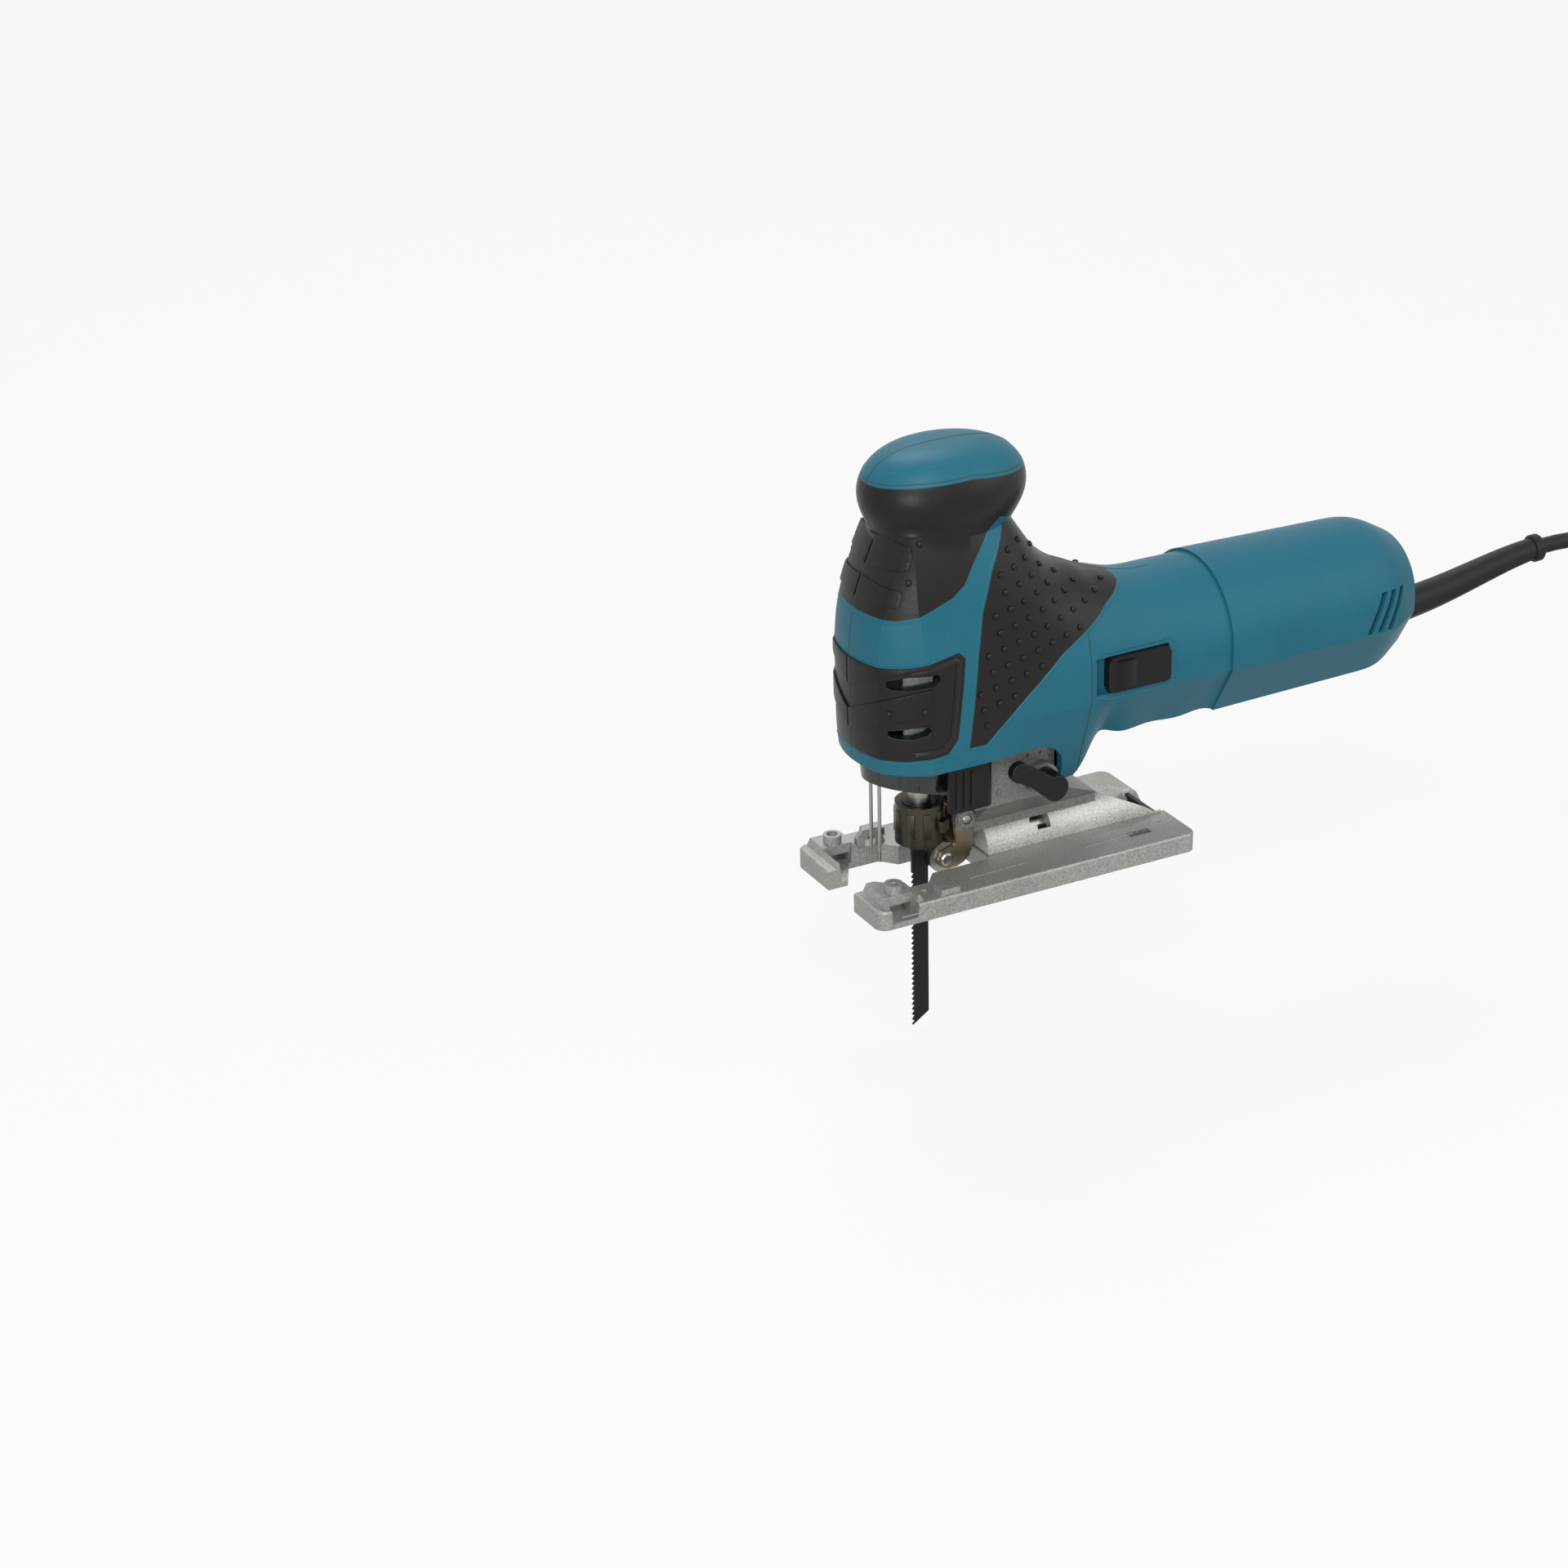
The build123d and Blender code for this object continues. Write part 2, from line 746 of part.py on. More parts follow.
# Gear housing: a foot that rides on the base's hump, the side walls and the gear case
pivot_ear_radius = 5.5
lug_height = 6.0
nose_half_width = 8.0
wire_places = (-wire_spacing / 2, wire_spacing / 2)
orbit_boss_radius = 7.5
wall_dimples = ((2.8, 56.3), (9.2, 56.6), (14.2, 54.0))
orbit_shaft_inner_y = -8.0
cavity_front_x = case_front_x + case_wall
cavity_rear_x = front_bearing_x - 1.0
cavity_half_width = case_half_width - case_wall
bolt_head_top = tilt_axis_z + 3.5
with BuildPart() as gear_housing:
    with BuildSketch(Plane.YZ.offset(foot_front_x)):
        with BuildLine():
            Polyline(
                (-foot_half_width, tilt_axis_z),
                (-foot_half_width, foot_strip_top),
                (-wall_half_width, wall_bottom),
                (wall_half_width, wall_bottom),
                (foot_half_width, foot_strip_top),
                (foot_half_width, tilt_axis_z),
                close=True,
            )
        make_face()
    extrude(amount=foot_rear_x - foot_front_x)
    with BuildSketch(Plane.XZ.offset(-cut_half_span)):
        with BuildLine():
            Polyline(
                (leg_rear_x, wall_bottom + 0.1),
                (foot_rear_x + 1.0, wall_bottom + 0.1),
                (foot_rear_x + 1.0, foot_strip_top + 0.5),
                close=True,
            )
        make_face()
    extrude(amount=2 * cut_half_span, mode=Mode.SUBTRACT)
    with Locations(((wall_front_x + wall_rear_x) / 2, 0, (wall_bottom + case_floor_bottom) / 2)):
        Box(wall_rear_x - wall_front_x, 2 * wall_half_width, case_floor_bottom - wall_bottom)
    case_top = case_roof_bottom + case_wall
    with BuildSketch(Plane.YZ.offset(case_front_x)):
        with Locations((0, (case_floor_bottom + case_top) / 2)):
            Rectangle(2 * case_half_width, case_top - case_floor_bottom)
    extrude(amount=case_step_x - case_front_x)
    with BuildSketch(Plane.YZ.offset(case_step_x)) as case_rear:
        with Locations((0, (case_floor_bottom + case_step_top) / 2)):
            Rectangle(2 * case_half_width, case_step_top - case_floor_bottom)
        chamfer(case_rear.vertices().group_by(Axis.Y)[-1], case_step_chamfer)
    extrude(amount=case_rear_x - case_step_x)
    with Locations((collar_x, 0, case_roof_bottom)):
        Cylinder(
            bush_radius + case_wall,
            case_roof_top - case_roof_bottom,
            align=(Align.CENTER, Align.CENTER, Align.MIN),
        )
    with Locations((arm_pivot_x, 0, arm_pivot_z)):
        Cylinder(pivot_ear_radius, 2 * ear_half_width, rotation=(90, 0, 0))
    ear_rear_x = foot_front_x + 6.0
    with Locations(((arm_pivot_x + ear_rear_x) / 2, 0, (arm_pivot_z + wall_bottom) / 2)):
        Box(ear_rear_x - arm_pivot_x, 2 * ear_half_width, wall_bottom - arm_pivot_z)
    with Locations(((case_front_x + wire_x - 2.5) / 2, 0, case_floor_bottom + lug_height / 2)):
        Box(case_front_x - wire_x + 2.5, 2 * nose_half_width, lug_height)
    lug_outer_y = opener_hinge_y - opener_pin_radius - 0.7
    with Locations((opener_hinge_x, (lug_outer_y - case_half_width) / 2, case_floor_bottom + lug_height / 2)):
        Box(2 * opener_knuckle_radius, -case_half_width - lug_outer_y, lug_height)
    boss_outer_y = lever_hub_inner_y + slip
    with Locations((lever_x, (boss_outer_y - wall_half_width) / 2, lever_z)):
        Cylinder(orbit_boss_radius, -wall_half_width - boss_outer_y, rotation=(90, 0, 0))
    cavity_step_x = case_step_x - case_wall
    cavity_spans = (
        (cavity_front_x, cavity_step_x, cavity_half_width, case_roof_bottom),
        (cavity_step_x, cavity_rear_x, cavity_half_width - case_step_chamfer, case_step_top - case_wall),
    )
    for span_front, span_rear, span_half, span_top in cavity_spans:
        with Locations(((span_front + span_rear) / 2, 0, (case_floor_top + span_top) / 2)):
            Box(span_rear - span_front, 2 * span_half, span_top - case_floor_top, mode=Mode.SUBTRACT)
    with Locations((collar_x, 0, (case_floor_bottom + case_roof_top) / 2)):
        Cylinder(bush_radius, case_roof_top - case_floor_bottom, mode=Mode.SUBTRACT)
    with Locations((front_bearing_x + bearing_width / 2, 0, motor_axis_z)):
        Cylinder(front_bearing_radius, bearing_width, rotation=(0, 90, 0), mode=Mode.SUBTRACT)
    with Locations((front_bearing_x, 0, motor_axis_z)):
        Cylinder(shaft_radius + 2.0, 30.0, rotation=(0, 90, 0), mode=Mode.SUBTRACT)
    with Locations((front_bearing_x + bearing_width / 2, 0, gear_axis_z)):
        Cylinder(gear_bearing_radius, bearing_width, rotation=(0, 90, 0), mode=Mode.SUBTRACT)
    with Locations((front_bearing_x - 2.0, 0, gear_axis_z)):
        Cylinder(gear_axle_radius + 1.0, 10.0, rotation=(0, 90, 0), mode=Mode.SUBTRACT)
    slot_half = arm_half_width + slip
    with Locations((arm_pivot_x - 1.0, 0, arm_pivot_z - 2.0)):
        Box(16.0, 2 * slot_half, 20.0, mode=Mode.SUBTRACT)
    with Locations((arm_pivot_x, 0, arm_pivot_z)):
        Cylinder(roller_pin_radius, 2 * ear_half_width + 2.0, rotation=(90, 0, 0), mode=Mode.SUBTRACT)
    with Locations((lever_x, (orbit_shaft_inner_y - cut_length) / 2, lever_z)):
        Cylinder(
            orbit_shaft_radius + running_fit,
            cut_length + orbit_shaft_inner_y,
            rotation=(90, 0, 0),
            mode=Mode.SUBTRACT,
        )
    with Locations([Location((x, -wall_half_width, z), (90, 0, 0)) for x, z in wall_dimples]):
        Cone(dimple_radius + 0.3, 0.3, dimple_depth + 0.2, mode=Mode.SUBTRACT)
    with Locations((clamp_x, 0, bolt_head_top)):
        Cylinder(
            clamp_bolt_diameter / 2,
            clamp_bolt_length + 0.5,
            align=(Align.CENTER, Align.CENTER, Align.MIN),
            mode=Mode.SUBTRACT,
        )
    with Locations([(wire_x, y, case_floor_bottom + lug_height / 2) for y in wire_places]):
        Cylinder(wire_diameter / 2, lug_height + 2.0, mode=Mode.SUBTRACT)
    with Locations((opener_hinge_x, opener_hinge_y, case_floor_bottom)):
        Cylinder(opener_pin_radius, 2 * lug_height - 2.0, mode=Mode.SUBTRACT)
    with Locations([(x, (screw_end_y + cut_length) / 2, z) for x, z in boss_places]):
        Cylinder(screw_radius, cut_length - screw_end_y, rotation=(90, 0, 0), mode=Mode.SUBTRACT)
    with Locations(((foot_front_x + foot_rear_x) / 2, 0, tilt_axis_z)):
        Cylinder(
            hump_radius + running_fit,
            foot_rear_x - foot_front_x + 30.0,
            rotation=(0, 90, 0),
            mode=Mode.SUBTRACT,
        )
gear_housing.part.label = "gear_housing"
export_step(gear_housing.part, "parts/gear_housing.step")

# Base: flat sole, raised prongs for the fence, and a hump that the foot tilts on
prong_front_x = prong_inset - base_length / 2
prong_half_width = base_width / 2 - prong_inset
slot_span = tilt_limit + 23.0
# The ear on the far prong: an arch that stands on the flange's inner edge
ear_outline = (
    (-57.5, base_thickness / 2),
    (-57.5, 13.0),
    (-54.6, 16.6),
    (-46.6, 16.6),
    (-41.6, base_thickness / 2),
    (-45.6, base_thickness / 2),
    (-48.4, 13.4),
    (-51.6, 13.4),
    (-53.4, 11.4),
    (-53.4, base_thickness / 2),
)
# The trough behind the hump: one round cutter that runs down the ramp and out at the rear
ramp_rise = tilt_axis_z + hump_radius - trough_floor
ramp_slope = math.atan2(ramp_rise, trough_front_x - ramp_top_x)
trough_axis_z = trough_floor + trough_radius
mitre_x = trough_front_x + trough_radius * math.tan(ramp_slope / 2)
cutter_length = base_length
cutter_start = (
    mitre_x - cutter_length * math.cos(ramp_slope),
    0,
    trough_axis_z + cutter_length * math.sin(ramp_slope),
)
with BuildPart() as trough_cutter:
    with BuildLine() as trough_path:
        Polyline(cutter_start, (mitre_x, 0, trough_axis_z), (base_length, 0, trough_axis_z))
    with BuildSketch(Plane(origin=cutter_start, z_dir=(math.cos(ramp_slope), 0, -math.sin(ramp_slope)))):
        Circle(trough_radius)
    sweep(path=trough_path.wire(), transition=Transition.RIGHT)

with BuildPart() as base:
    with BuildSketch():
        RectangleRounded(base_length, base_width, base_corner)
    extrude(amount=base_thickness)
    fillet(base.edges().group_by(Axis.Z)[-1], base_top_round)
    with BuildSketch(Plane.XZ.offset(-prong_half_width)):
        with BuildLine():
            Polyline(
                (prong_front_x, base_thickness / 2),
                (prong_front_x + 4.0, prong_height),
                (prong_rear_x, prong_height),
                (prong_rear_x + prong_ramp, base_thickness - 0.2),
                (prong_rear_x + prong_ramp, base_thickness / 2),
                close=True,
            )
        make_face()
    extrude(amount=2 * prong_half_width)
    with Locations([(fence_x, y, fence_slot_floor) for y in (-fence_screw_pitch / 2, fence_screw_pitch / 2)]):
        Cylinder(
            fence_boss_diameter / 2,
            fence_boss_top - fence_slot_floor,
            align=(Align.CENTER, Align.CENTER, Align.MIN),
        )
    for sign in (-1, 1):
        with BuildSketch(Plane.XZ.offset(-sign * (rib_outer_y + rib_inner_y) / 2)):
            with BuildLine():
                Polyline(
                    (rib_front_x, base_thickness / 2),
                    (rib_front_x + 1.5, rib_top),
                    (rib_rear_x - 0.8, rib_top),
                    (rib_rear_x, base_thickness / 2),
                    close=True,
                )
            make_face()
        extrude(amount=(rib_outer_y - rib_inner_y) / 2, both=True)
    with BuildSketch(Plane.XZ.offset(-ear_y)):
        with BuildLine():
            Polyline(*ear_outline, close=True)
        make_face()
    extrude(amount=ear_thickness / 2, both=True)
    with BuildSketch(Plane.YZ.offset(hump_front_x)):
        with Locations((0, tilt_axis_z)):
            Circle(hump_radius)
        with Locations((0, tilt_axis_z + hump_radius)):
            Rectangle(4 * hump_radius, 2 * (hump_radius + base_thickness / 2), mode=Mode.INTERSECT)
    extrude(amount=base_length / 2 - 3.0 - hump_front_x)
    add(trough_cutter.part, mode=Mode.SUBTRACT)
    with BuildSketch():
        front_x = -base_length / 2 - 1.0
        with BuildLine():
            Polyline(
                (front_x, -mouth_left),
                (fence_x - 3.0, -mouth_left),
                (fence_x + 5.0, -wide_gap_half),
                (collar_x - 8.0, -wide_gap_half),
                (collar_x - 2.0, -blade_gap_half),
                (hump_front_x - 1.0, -blade_gap_half),
                (hump_front_x - 1.0, blade_gap_half),
                (collar_x - 2.0, blade_gap_half),
                (collar_x - 8.0, wide_gap_half),
                (fence_x + 5.0, wide_gap_half),
                (fence_x - 3.0, mouth_right),
                (front_x, mouth_right),
                close=True,
            )
        make_face()
    extrude(amount=2 * fence_boss_top, mode=Mode.SUBTRACT)
    with Locations((fence_x, 0, fence_slot_floor + fence_slot_height / 2)):
        Box(fence_slot_width, base_width + 2.0, fence_slot_height, mode=Mode.SUBTRACT)
    with Locations([(fence_x, y, fence_slot_floor) for y in (-fence_screw_pitch / 2, fence_screw_pitch / 2)]):
        Cylinder(
            fence_screw_bore / 2,
            fence_boss_top,
            align=(Align.CENTER, Align.CENTER, Align.MIN),
            mode=Mode.SUBTRACT,
        )
    for sign in (-1, 1):
        notch_inner_y = sign * fence_screw_pitch / 2 - fence_boss_diameter / 2
        notch_length = notch_inner_y if sign > 0 else base_width
        with BuildSketch(Plane.XZ.offset(-notch_inner_y)):
            with BuildLine():
                Polyline(
                    (fence_x - fence_slot_width / 2, fence_slot_floor),
                    (fence_x + fence_slot_width / 2, fence_slot_floor),
                    (fence_x + fence_slot_width / 2 + fence_notch_flare, 2 * prong_height),
                    (fence_x - fence_slot_width / 2 - fence_notch_flare, 2 * prong_height),
                    close=True,
                )
            make_face()
        extrude(amount=notch_length, mode=Mode.SUBTRACT)
    with Locations([(x, y, base_thickness - dimple_depth / 2) for x, y in base_dimples]):
        Cone(0.3, dimple_radius, dimple_depth, mode=Mode.SUBTRACT)
    with Locations((hook_hole_x, hook_hole_y, base_thickness)):
        Box(hook_hole_length, hook_hole_width, 2 * hook_hole_depth, mode=Mode.SUBTRACT)
    for turn in (-hump_hole_turn, hump_hole_turn):
        with Locations(Location((hump_hole_x, 0, tilt_axis_z), (turn, 0, 0))):
            Cylinder(
                hump_hole_radius,
                2 * hump_radius,
                align=(Align.CENTER, Align.CENTER, Align.MIN),
                mode=Mode.SUBTRACT,
            )
    with Locations((clamp_x, 0, tilt_axis_z)):
        Cylinder(clamp_hollow_radius, clamp_hollow_length, rotation=(0, 90, 0), mode=Mode.SUBTRACT)
    with Locations((clamp_x, 0, 0)):
        Cylinder(clamp_key_bore / 2, 2 * base_thickness, mode=Mode.SUBTRACT)
    slot_width = clamp_bolt_diameter + 2 * slip
    with BuildSketch(Plane.YZ.offset(clamp_x - slot_width / 2)):
        reach = 2 * hump_radius
        slot_side = reach * math.sin(math.radians(slot_span))
        slot_rise = reach * math.cos(math.radians(slot_span))
        with BuildLine():
            Polyline(
                (0, tilt_axis_z),
                (slot_side, tilt_axis_z + slot_rise),
                (0, tilt_axis_z + 2 * reach),
                (-slot_side, tilt_axis_z + slot_rise),
                close=True,
            )
        make_face()
    extrude(amount=slot_width, mode=Mode.SUBTRACT)
base.part.label = "base"
export_step(base.part, "parts/base.step")

with BuildPart() as trough_end_plate:
    with BuildSketch(Plane.YZ.offset(end_plate_x)):
        with Locations((0, trough_floor + trough_radius)):
            Circle(trough_radius - 0.02)
        with Locations((0, base_thickness - 0.3 - trough_radius)):
            Rectangle(4 * trough_radius, 2 * trough_radius, mode=Mode.INTERSECT)
    extrude(amount=end_plate_thickness)
trough_end_plate.part.label = "trough_end_plate"
export_step(trough_end_plate.part, "parts/trough_end_plate.step")

with BuildPart() as base_clamp_bolt:
    with BuildSketch(Plane.XY.offset(bolt_head_top - clamp_head_height)):
        with Locations((clamp_x, 0)):
            RegularPolygon(clamp_head_width / 2, 6, major_radius=False)
    extrude(amount=clamp_head_height)
    with Locations((clamp_x, 0, bolt_head_top)):
        Cylinder(
            clamp_bolt_diameter / 2, clamp_bolt_length, align=(Align.CENTER, Align.CENTER, Align.MIN)
        )
base_clamp_bolt.part.label = "base_clamp_bolt"
export_step(base_clamp_bolt.part, "parts/base_clamp_bolt.step")

with BuildPart() as base_clamp_washer:
    with Locations((clamp_x, 0, tilt_axis_z)):
        Cylinder(clamp_hollow_radius - running_fit, clamp_washer_length, rotation=(0, 90, 0))
    with Locations((clamp_x, 0, bolt_head_top)):
        Box(
            clamp_washer_length,
            2 * clamp_hollow_radius - 3.0,
            clamp_hollow_radius,
            align=(Align.CENTER, Align.CENTER, Align.MIN),
            mode=Mode.INTERSECT,
        )
    with Locations((clamp_x, 0, bolt_head_top)):
        Cylinder(clamp_bolt_diameter / 2, 4 * clamp_hollow_radius, mode=Mode.SUBTRACT)
base_clamp_washer.part.label = "base_clamp_washer"
export_step(base_clamp_washer.part, "parts/base_clamp_washer.step")

# Wire guard: one bent wire whose legs hang through the nose in front of the blade
wire_bend = 2.0
wire_bridge_z = case_floor_bottom + lug_height + wire_diameter / 2 + wire_bend
with BuildPart() as wire_guard:
    with BuildLine(Plane.YZ.offset(wire_x)) as wire_path:
        FilletPolyline(
            (wire_places[0], wire_bottom),
            (wire_places[0], wire_bridge_z),
            (wire_places[1], wire_bridge_z),
            (wire_places[1], wire_bottom),
            radius=wire_bend,
        )
    with BuildSketch(Plane.XY.offset(wire_bottom)):
        with Locations((wire_x, wire_places[0])):
            Circle(wire_diameter / 2)
    sweep(path=wire_path.wire())
wire_guard.part.label = "wire_guard"
export_step(wire_guard.part, "parts/wire_guard.step")

# Dust cover: a thin clear hood round the front of the blade that slides down
dust_top_z = case_floor_bottom - slip


def dust_form(inset):
    """The hood's solid form: upright, with a shallow taper towards its foot."""
    levels = ((dust_foot_z, dust_foot_reach, dust_foot_half), (dust_top_z, dust_top_reach, dust_top_half))
    sections = []
    for z, reach, half in levels:
        with BuildSketch(Plane.XY.offset(z)) as section:
            with BuildLine():
                for turn in (0, 180):
                    EllipticalCenterArc(
                        (dust_centre_x, 0), reach - inset, half - inset, start_angle=turn, arc_size=180
                    )
            make_face()
        sections.append(section.sketch)
    return loft(sections, ruled=True)


dust_outside = dust_form(0.0)
dust_inside = dust_form(dust_wall)
dust_front_x = dust_centre_x - dust_top_reach
dust_below = side_prism(
    (
        (dust_front_x - 5.0, dust_lip_front_z),
        (dust_front_x, dust_lip_front_z),
        (dust_rear_x + 1.0, dust_lip_rear_z),
        (dust_rear_x + 1.0, dust_foot_z - 5.0),
        (dust_front_x - 5.0, dust_foot_z - 5.0),
    )
)
with BuildPart() as dust_cover:
    add(dust_outside)
    add(dust_inside, mode=Mode.SUBTRACT)
    add(dust_below, mode=Mode.SUBTRACT)
    with Locations((dust_rear_x, 0, dust_foot_z)):
        Box(
            4 * dust_top_reach,
            4 * dust_top_half,
            4 * dust_top_reach,
            align=(Align.MIN, Align.CENTER, Align.CENTER),
            mode=Mode.SUBTRACT,
        )
dust_cover.part.label = "dust_cover"
export_step(dust_cover.part, "parts/dust_cover.step")

# Tool opener: a small flap on an upright pin that turns the blade clamp
opener_outer_y = opener_hinge_y - opener_thickness + 1.5
opener_middle_x = opener_hinge_x - opener_length / 2
opener_middle_z = (opener_bottom + opener_top) / 2
with BuildPart() as tool_opener:
    with Locations((opener_middle_x, opener_outer_y + opener_thickness / 2, opener_middle_z)):
        Box(opener_length, opener_thickness, opener_top - opener_bottom)
    fillet(tool_opener.edges().filter_by(Axis.Z).group_by(Axis.X)[0], opener_round)
    with Locations((opener_hinge_x, opener_hinge_y, opener_middle_z)):
        Cylinder(opener_knuckle_radius, opener_top - opener_bottom)
        Cylinder(opener_pin_radius + running_fit, opener_top - opener_bottom, mode=Mode.SUBTRACT)
tool_opener.part.label = "tool_opener"
export_step(tool_opener.part, "parts/tool_opener.step")

opener_pin_top = case_floor_bottom + lug_height - 1.0
with BuildPart() as opener_hinge_pin:
    with Locations((opener_hinge_x, opener_hinge_y, opener_bottom)):
        Cylinder(
            opener_pin_radius, opener_pin_top - opener_bottom, align=(Align.CENTER, Align.CENTER, Align.MIN)
        )
opener_hinge_pin.part.label = "opener_hinge_pin"
export_step(opener_hinge_pin.part, "parts/opener_hinge_pin.step")

# Plunger: the rod that carries the blade, with the slotted yoke that the crank drives
yoke_slot_height = 2 * (crank_pin_radius + slip)
with BuildPart() as plunger:
    with Locations((collar_x, 0, clamp_top)):
        Cylinder(rod_radius, rod_top - clamp_top, align=(Align.CENTER, Align.CENTER, Align.MIN))
    yoke_front_x = yoke_rear_x - yoke_depth - rod_radius
    with Locations(((yoke_front_x + yoke_rear_x) / 2, 0, yoke_z)):
        Box(yoke_rear_x - yoke_front_x, 2 * yoke_half_width, yoke_height)
    with Locations((yoke_rear_x, 0, yoke_z)):
        Box(yoke_depth, 2 * yoke_half_width - 4.0, yoke_slot_height, mode=Mode.SUBTRACT)
plunger.part.label = "plunger"
export_step(plunger.part, "parts/plunger.step")

with BuildPart() as plunger_bushes:
    for low, high in ((case_floor_bottom, case_floor_top), (case_roof_bottom, case_roof_top)):
        with Locations((collar_x, 0, (low + high) / 2)):
            Cylinder(bush_radius, high - low)
            Cylinder(rod_radius + running_fit, high - low, mode=Mode.SUBTRACT)
plunger_bushes.part.label = "plunger_bushes"
export_step(plunger_bushes.part, "parts/plunger_bushes.step")

with BuildPart() as blade_clamp_body:
    with Locations((collar_x, 0, clamp_bottom)):
        Cylinder(clamp_radius, clamp_top - clamp_bottom, align=(Align.CENTER, Align.CENTER, Align.MIN))
    with Locations((collar_x, 0, serrated_bottom)):
        Cylinder(
            serrated_radius, clamp_bottom - serrated_bottom, align=(Align.CENTER, Align.CENTER, Align.MIN)
        )
    with Locations((collar_x, 0, serrated_bottom)):
        Box(
            blade_width + seat_gap,
            blade_thickness + seat_gap,
            blade_top_z + seat_gap - serrated_bottom,
            align=(Align.CENTER, Align.CENTER, Align.MIN),
            mode=Mode.SUBTRACT,
        )
blade_clamp_body.part.label = "blade_clamp_body"
export_step(blade_clamp_body.part, "parts/blade_clamp_body.step")

collar_bottom = clamp_bottom + 0.2
collar_top = clamp_top - slip
collar_outer = clamp_radius + running_fit + collar_wall
lug_turn = -60.0
lug_width = 5.0
with BuildPart() as blade_clamp_collar:
    with Locations((collar_x, 0, collar_bottom)):
        Cylinder(collar_outer, collar_top - collar_bottom, align=(Align.CENTER, Align.CENTER, Align.MIN))
    with Locations(Location((collar_x, 0, (collar_bottom + collar_top) / 2), (0, 0, lug_turn))):
        Box(collar_outer + collar_lug, lug_width, lug_width, align=(Align.MIN, Align.CENTER, Align.CENTER))
    with Locations((collar_x, 0, clamp_bottom)):
        Cylinder(
            clamp_radius + running_fit,
            2 * (clamp_top - clamp_bottom),
            mode=Mode.SUBTRACT,
        )
blade_clamp_collar.part.label = "blade_clamp_collar"
export_step(blade_clamp_collar.part, "parts/blade_clamp_collar.step")

# Saw blade: teeth along the front edge, a slanted tip, and a plain shank in the clamp
blade_front_x = blade_back_x - blade_width
tip_back_z = blade_tip_z + 5.3
tooth_count = int((teeth_top_z - blade_tip_z) / tooth_pitch)
blade_outline = [(blade_back_x, blade_top_z), (blade_front_x, blade_top_z)]
for i in range(tooth_count):
    tooth_z = teeth_top_z - tooth_pitch * i
    blade_outline.append((blade_front_x, tooth_z))
    blade_outline.append((blade_front_x + tooth_depth, tooth_z - 0.3 * tooth_pitch))
blade_outline.append((blade_front_x, blade_tip_z))
blade_outline.append((blade_back_x, tip_back_z))
with BuildPart() as saw_blade:
    with BuildSketch(Plane.XZ.offset(-blade_thickness / 2)):
        with BuildLine():
            Polyline(*blade_outline, close=True)
        make_face()
    extrude(amount=blade_thickness)
saw_blade.part.label = "saw_blade"
export_step(saw_blade.part, "parts/saw_blade.step")

# Guide roller behind the blade, on a forked arm that hangs from the foot's ears
roller_radius = roller_groove_radius + roller_groove_depth
groove_half = blade_thickness / 2 + slip
with BuildPart() as guide_roller:
    with Locations((roller_x, 0, roller_z)):
        Cylinder(roller_radius, roller_width, rotation=(90, 0, 0))
        Cylinder(roller_radius + 1.0, 2 * groove_half, rotation=(90, 0, 0), mode=Mode.SUBTRACT)
        Cylinder(roller_groove_radius, 2 * groove_half, rotation=(90, 0, 0))
        Cylinder(roller_pin_radius + running_fit, roller_width, rotation=(90, 0, 0), mode=Mode.SUBTRACT)
guide_roller.part.label = "guide_roller"
export_step(guide_roller.part, "parts/guide_roller.step")

arm_eye = 4.0
arm_outline = (
    (arm_pivot_x - arm_eye, arm_pivot_z),
    (arm_pivot_x - arm_eye, arm_pivot_z + arm_eye),
    (arm_pivot_x + arm_eye, arm_pivot_z + arm_eye),
    (arm_pivot_x + arm_eye + 1.4, arm_pivot_z - 8.0),
    (arm_pivot_x + arm_eye + 1.2, arm_pivot_z - 15.0),
    (arm_pivot_x + arm_eye - 0.6, roller_z - 1.0),
    (arm_pivot_x + arm_eye - 3.4, roller_z - 3.4),
    (roller_x + 5.0, roller_z - 4.8),
    (roller_x + 1.0, roller_z - 4.8),
    (roller_x - arm_eye + 1.0, roller_z - 3.0),
    (roller_x - arm_eye, roller_z),
    (roller_x - 2.4, roller_z + 3.4),
    (roller_x, roller_z + 4.0),
    (arm_pivot_x - arm_eye, roller_z + 5.2),
    (arm_pivot_x - arm_eye + 0.8, roller_z + 7.4),
)
web_thickness = 2.0
web_front_x = arm_pivot_x + arm_eye + 1.0 - web_thickness
with BuildPart() as roller_arm:
    with BuildSketch(Plane.XZ.offset(-arm_half_width)):
        with BuildLine():
            Polyline(*arm_outline, close=True)
        make_face()
    extrude(amount=2 * arm_half_width)
    inner_half = arm_half_width - arm_plate
    with Locations((web_front_x, 0, arm_pivot_z)):
        Box(
            cut_length,
            2 * inner_half,
            2 * cut_length,
            align=(Align.MAX, Align.CENTER, Align.CENTER),
            mode=Mode.SUBTRACT,
        )
    with Locations((arm_pivot_x, 0, arm_pivot_z)):
        Cylinder(roller_pin_radius + running_fit, 4 * arm_half_width, rotation=(90, 0, 0), mode=Mode.SUBTRACT)
    with Locations((roller_x, 0, roller_z)):
        Cylinder(roller_pin_radius, 4 * arm_half_width, rotation=(90, 0, 0), mode=Mode.SUBTRACT)
roller_arm.part.label = "roller_arm"
export_step(roller_arm.part, "parts/roller_arm.step")

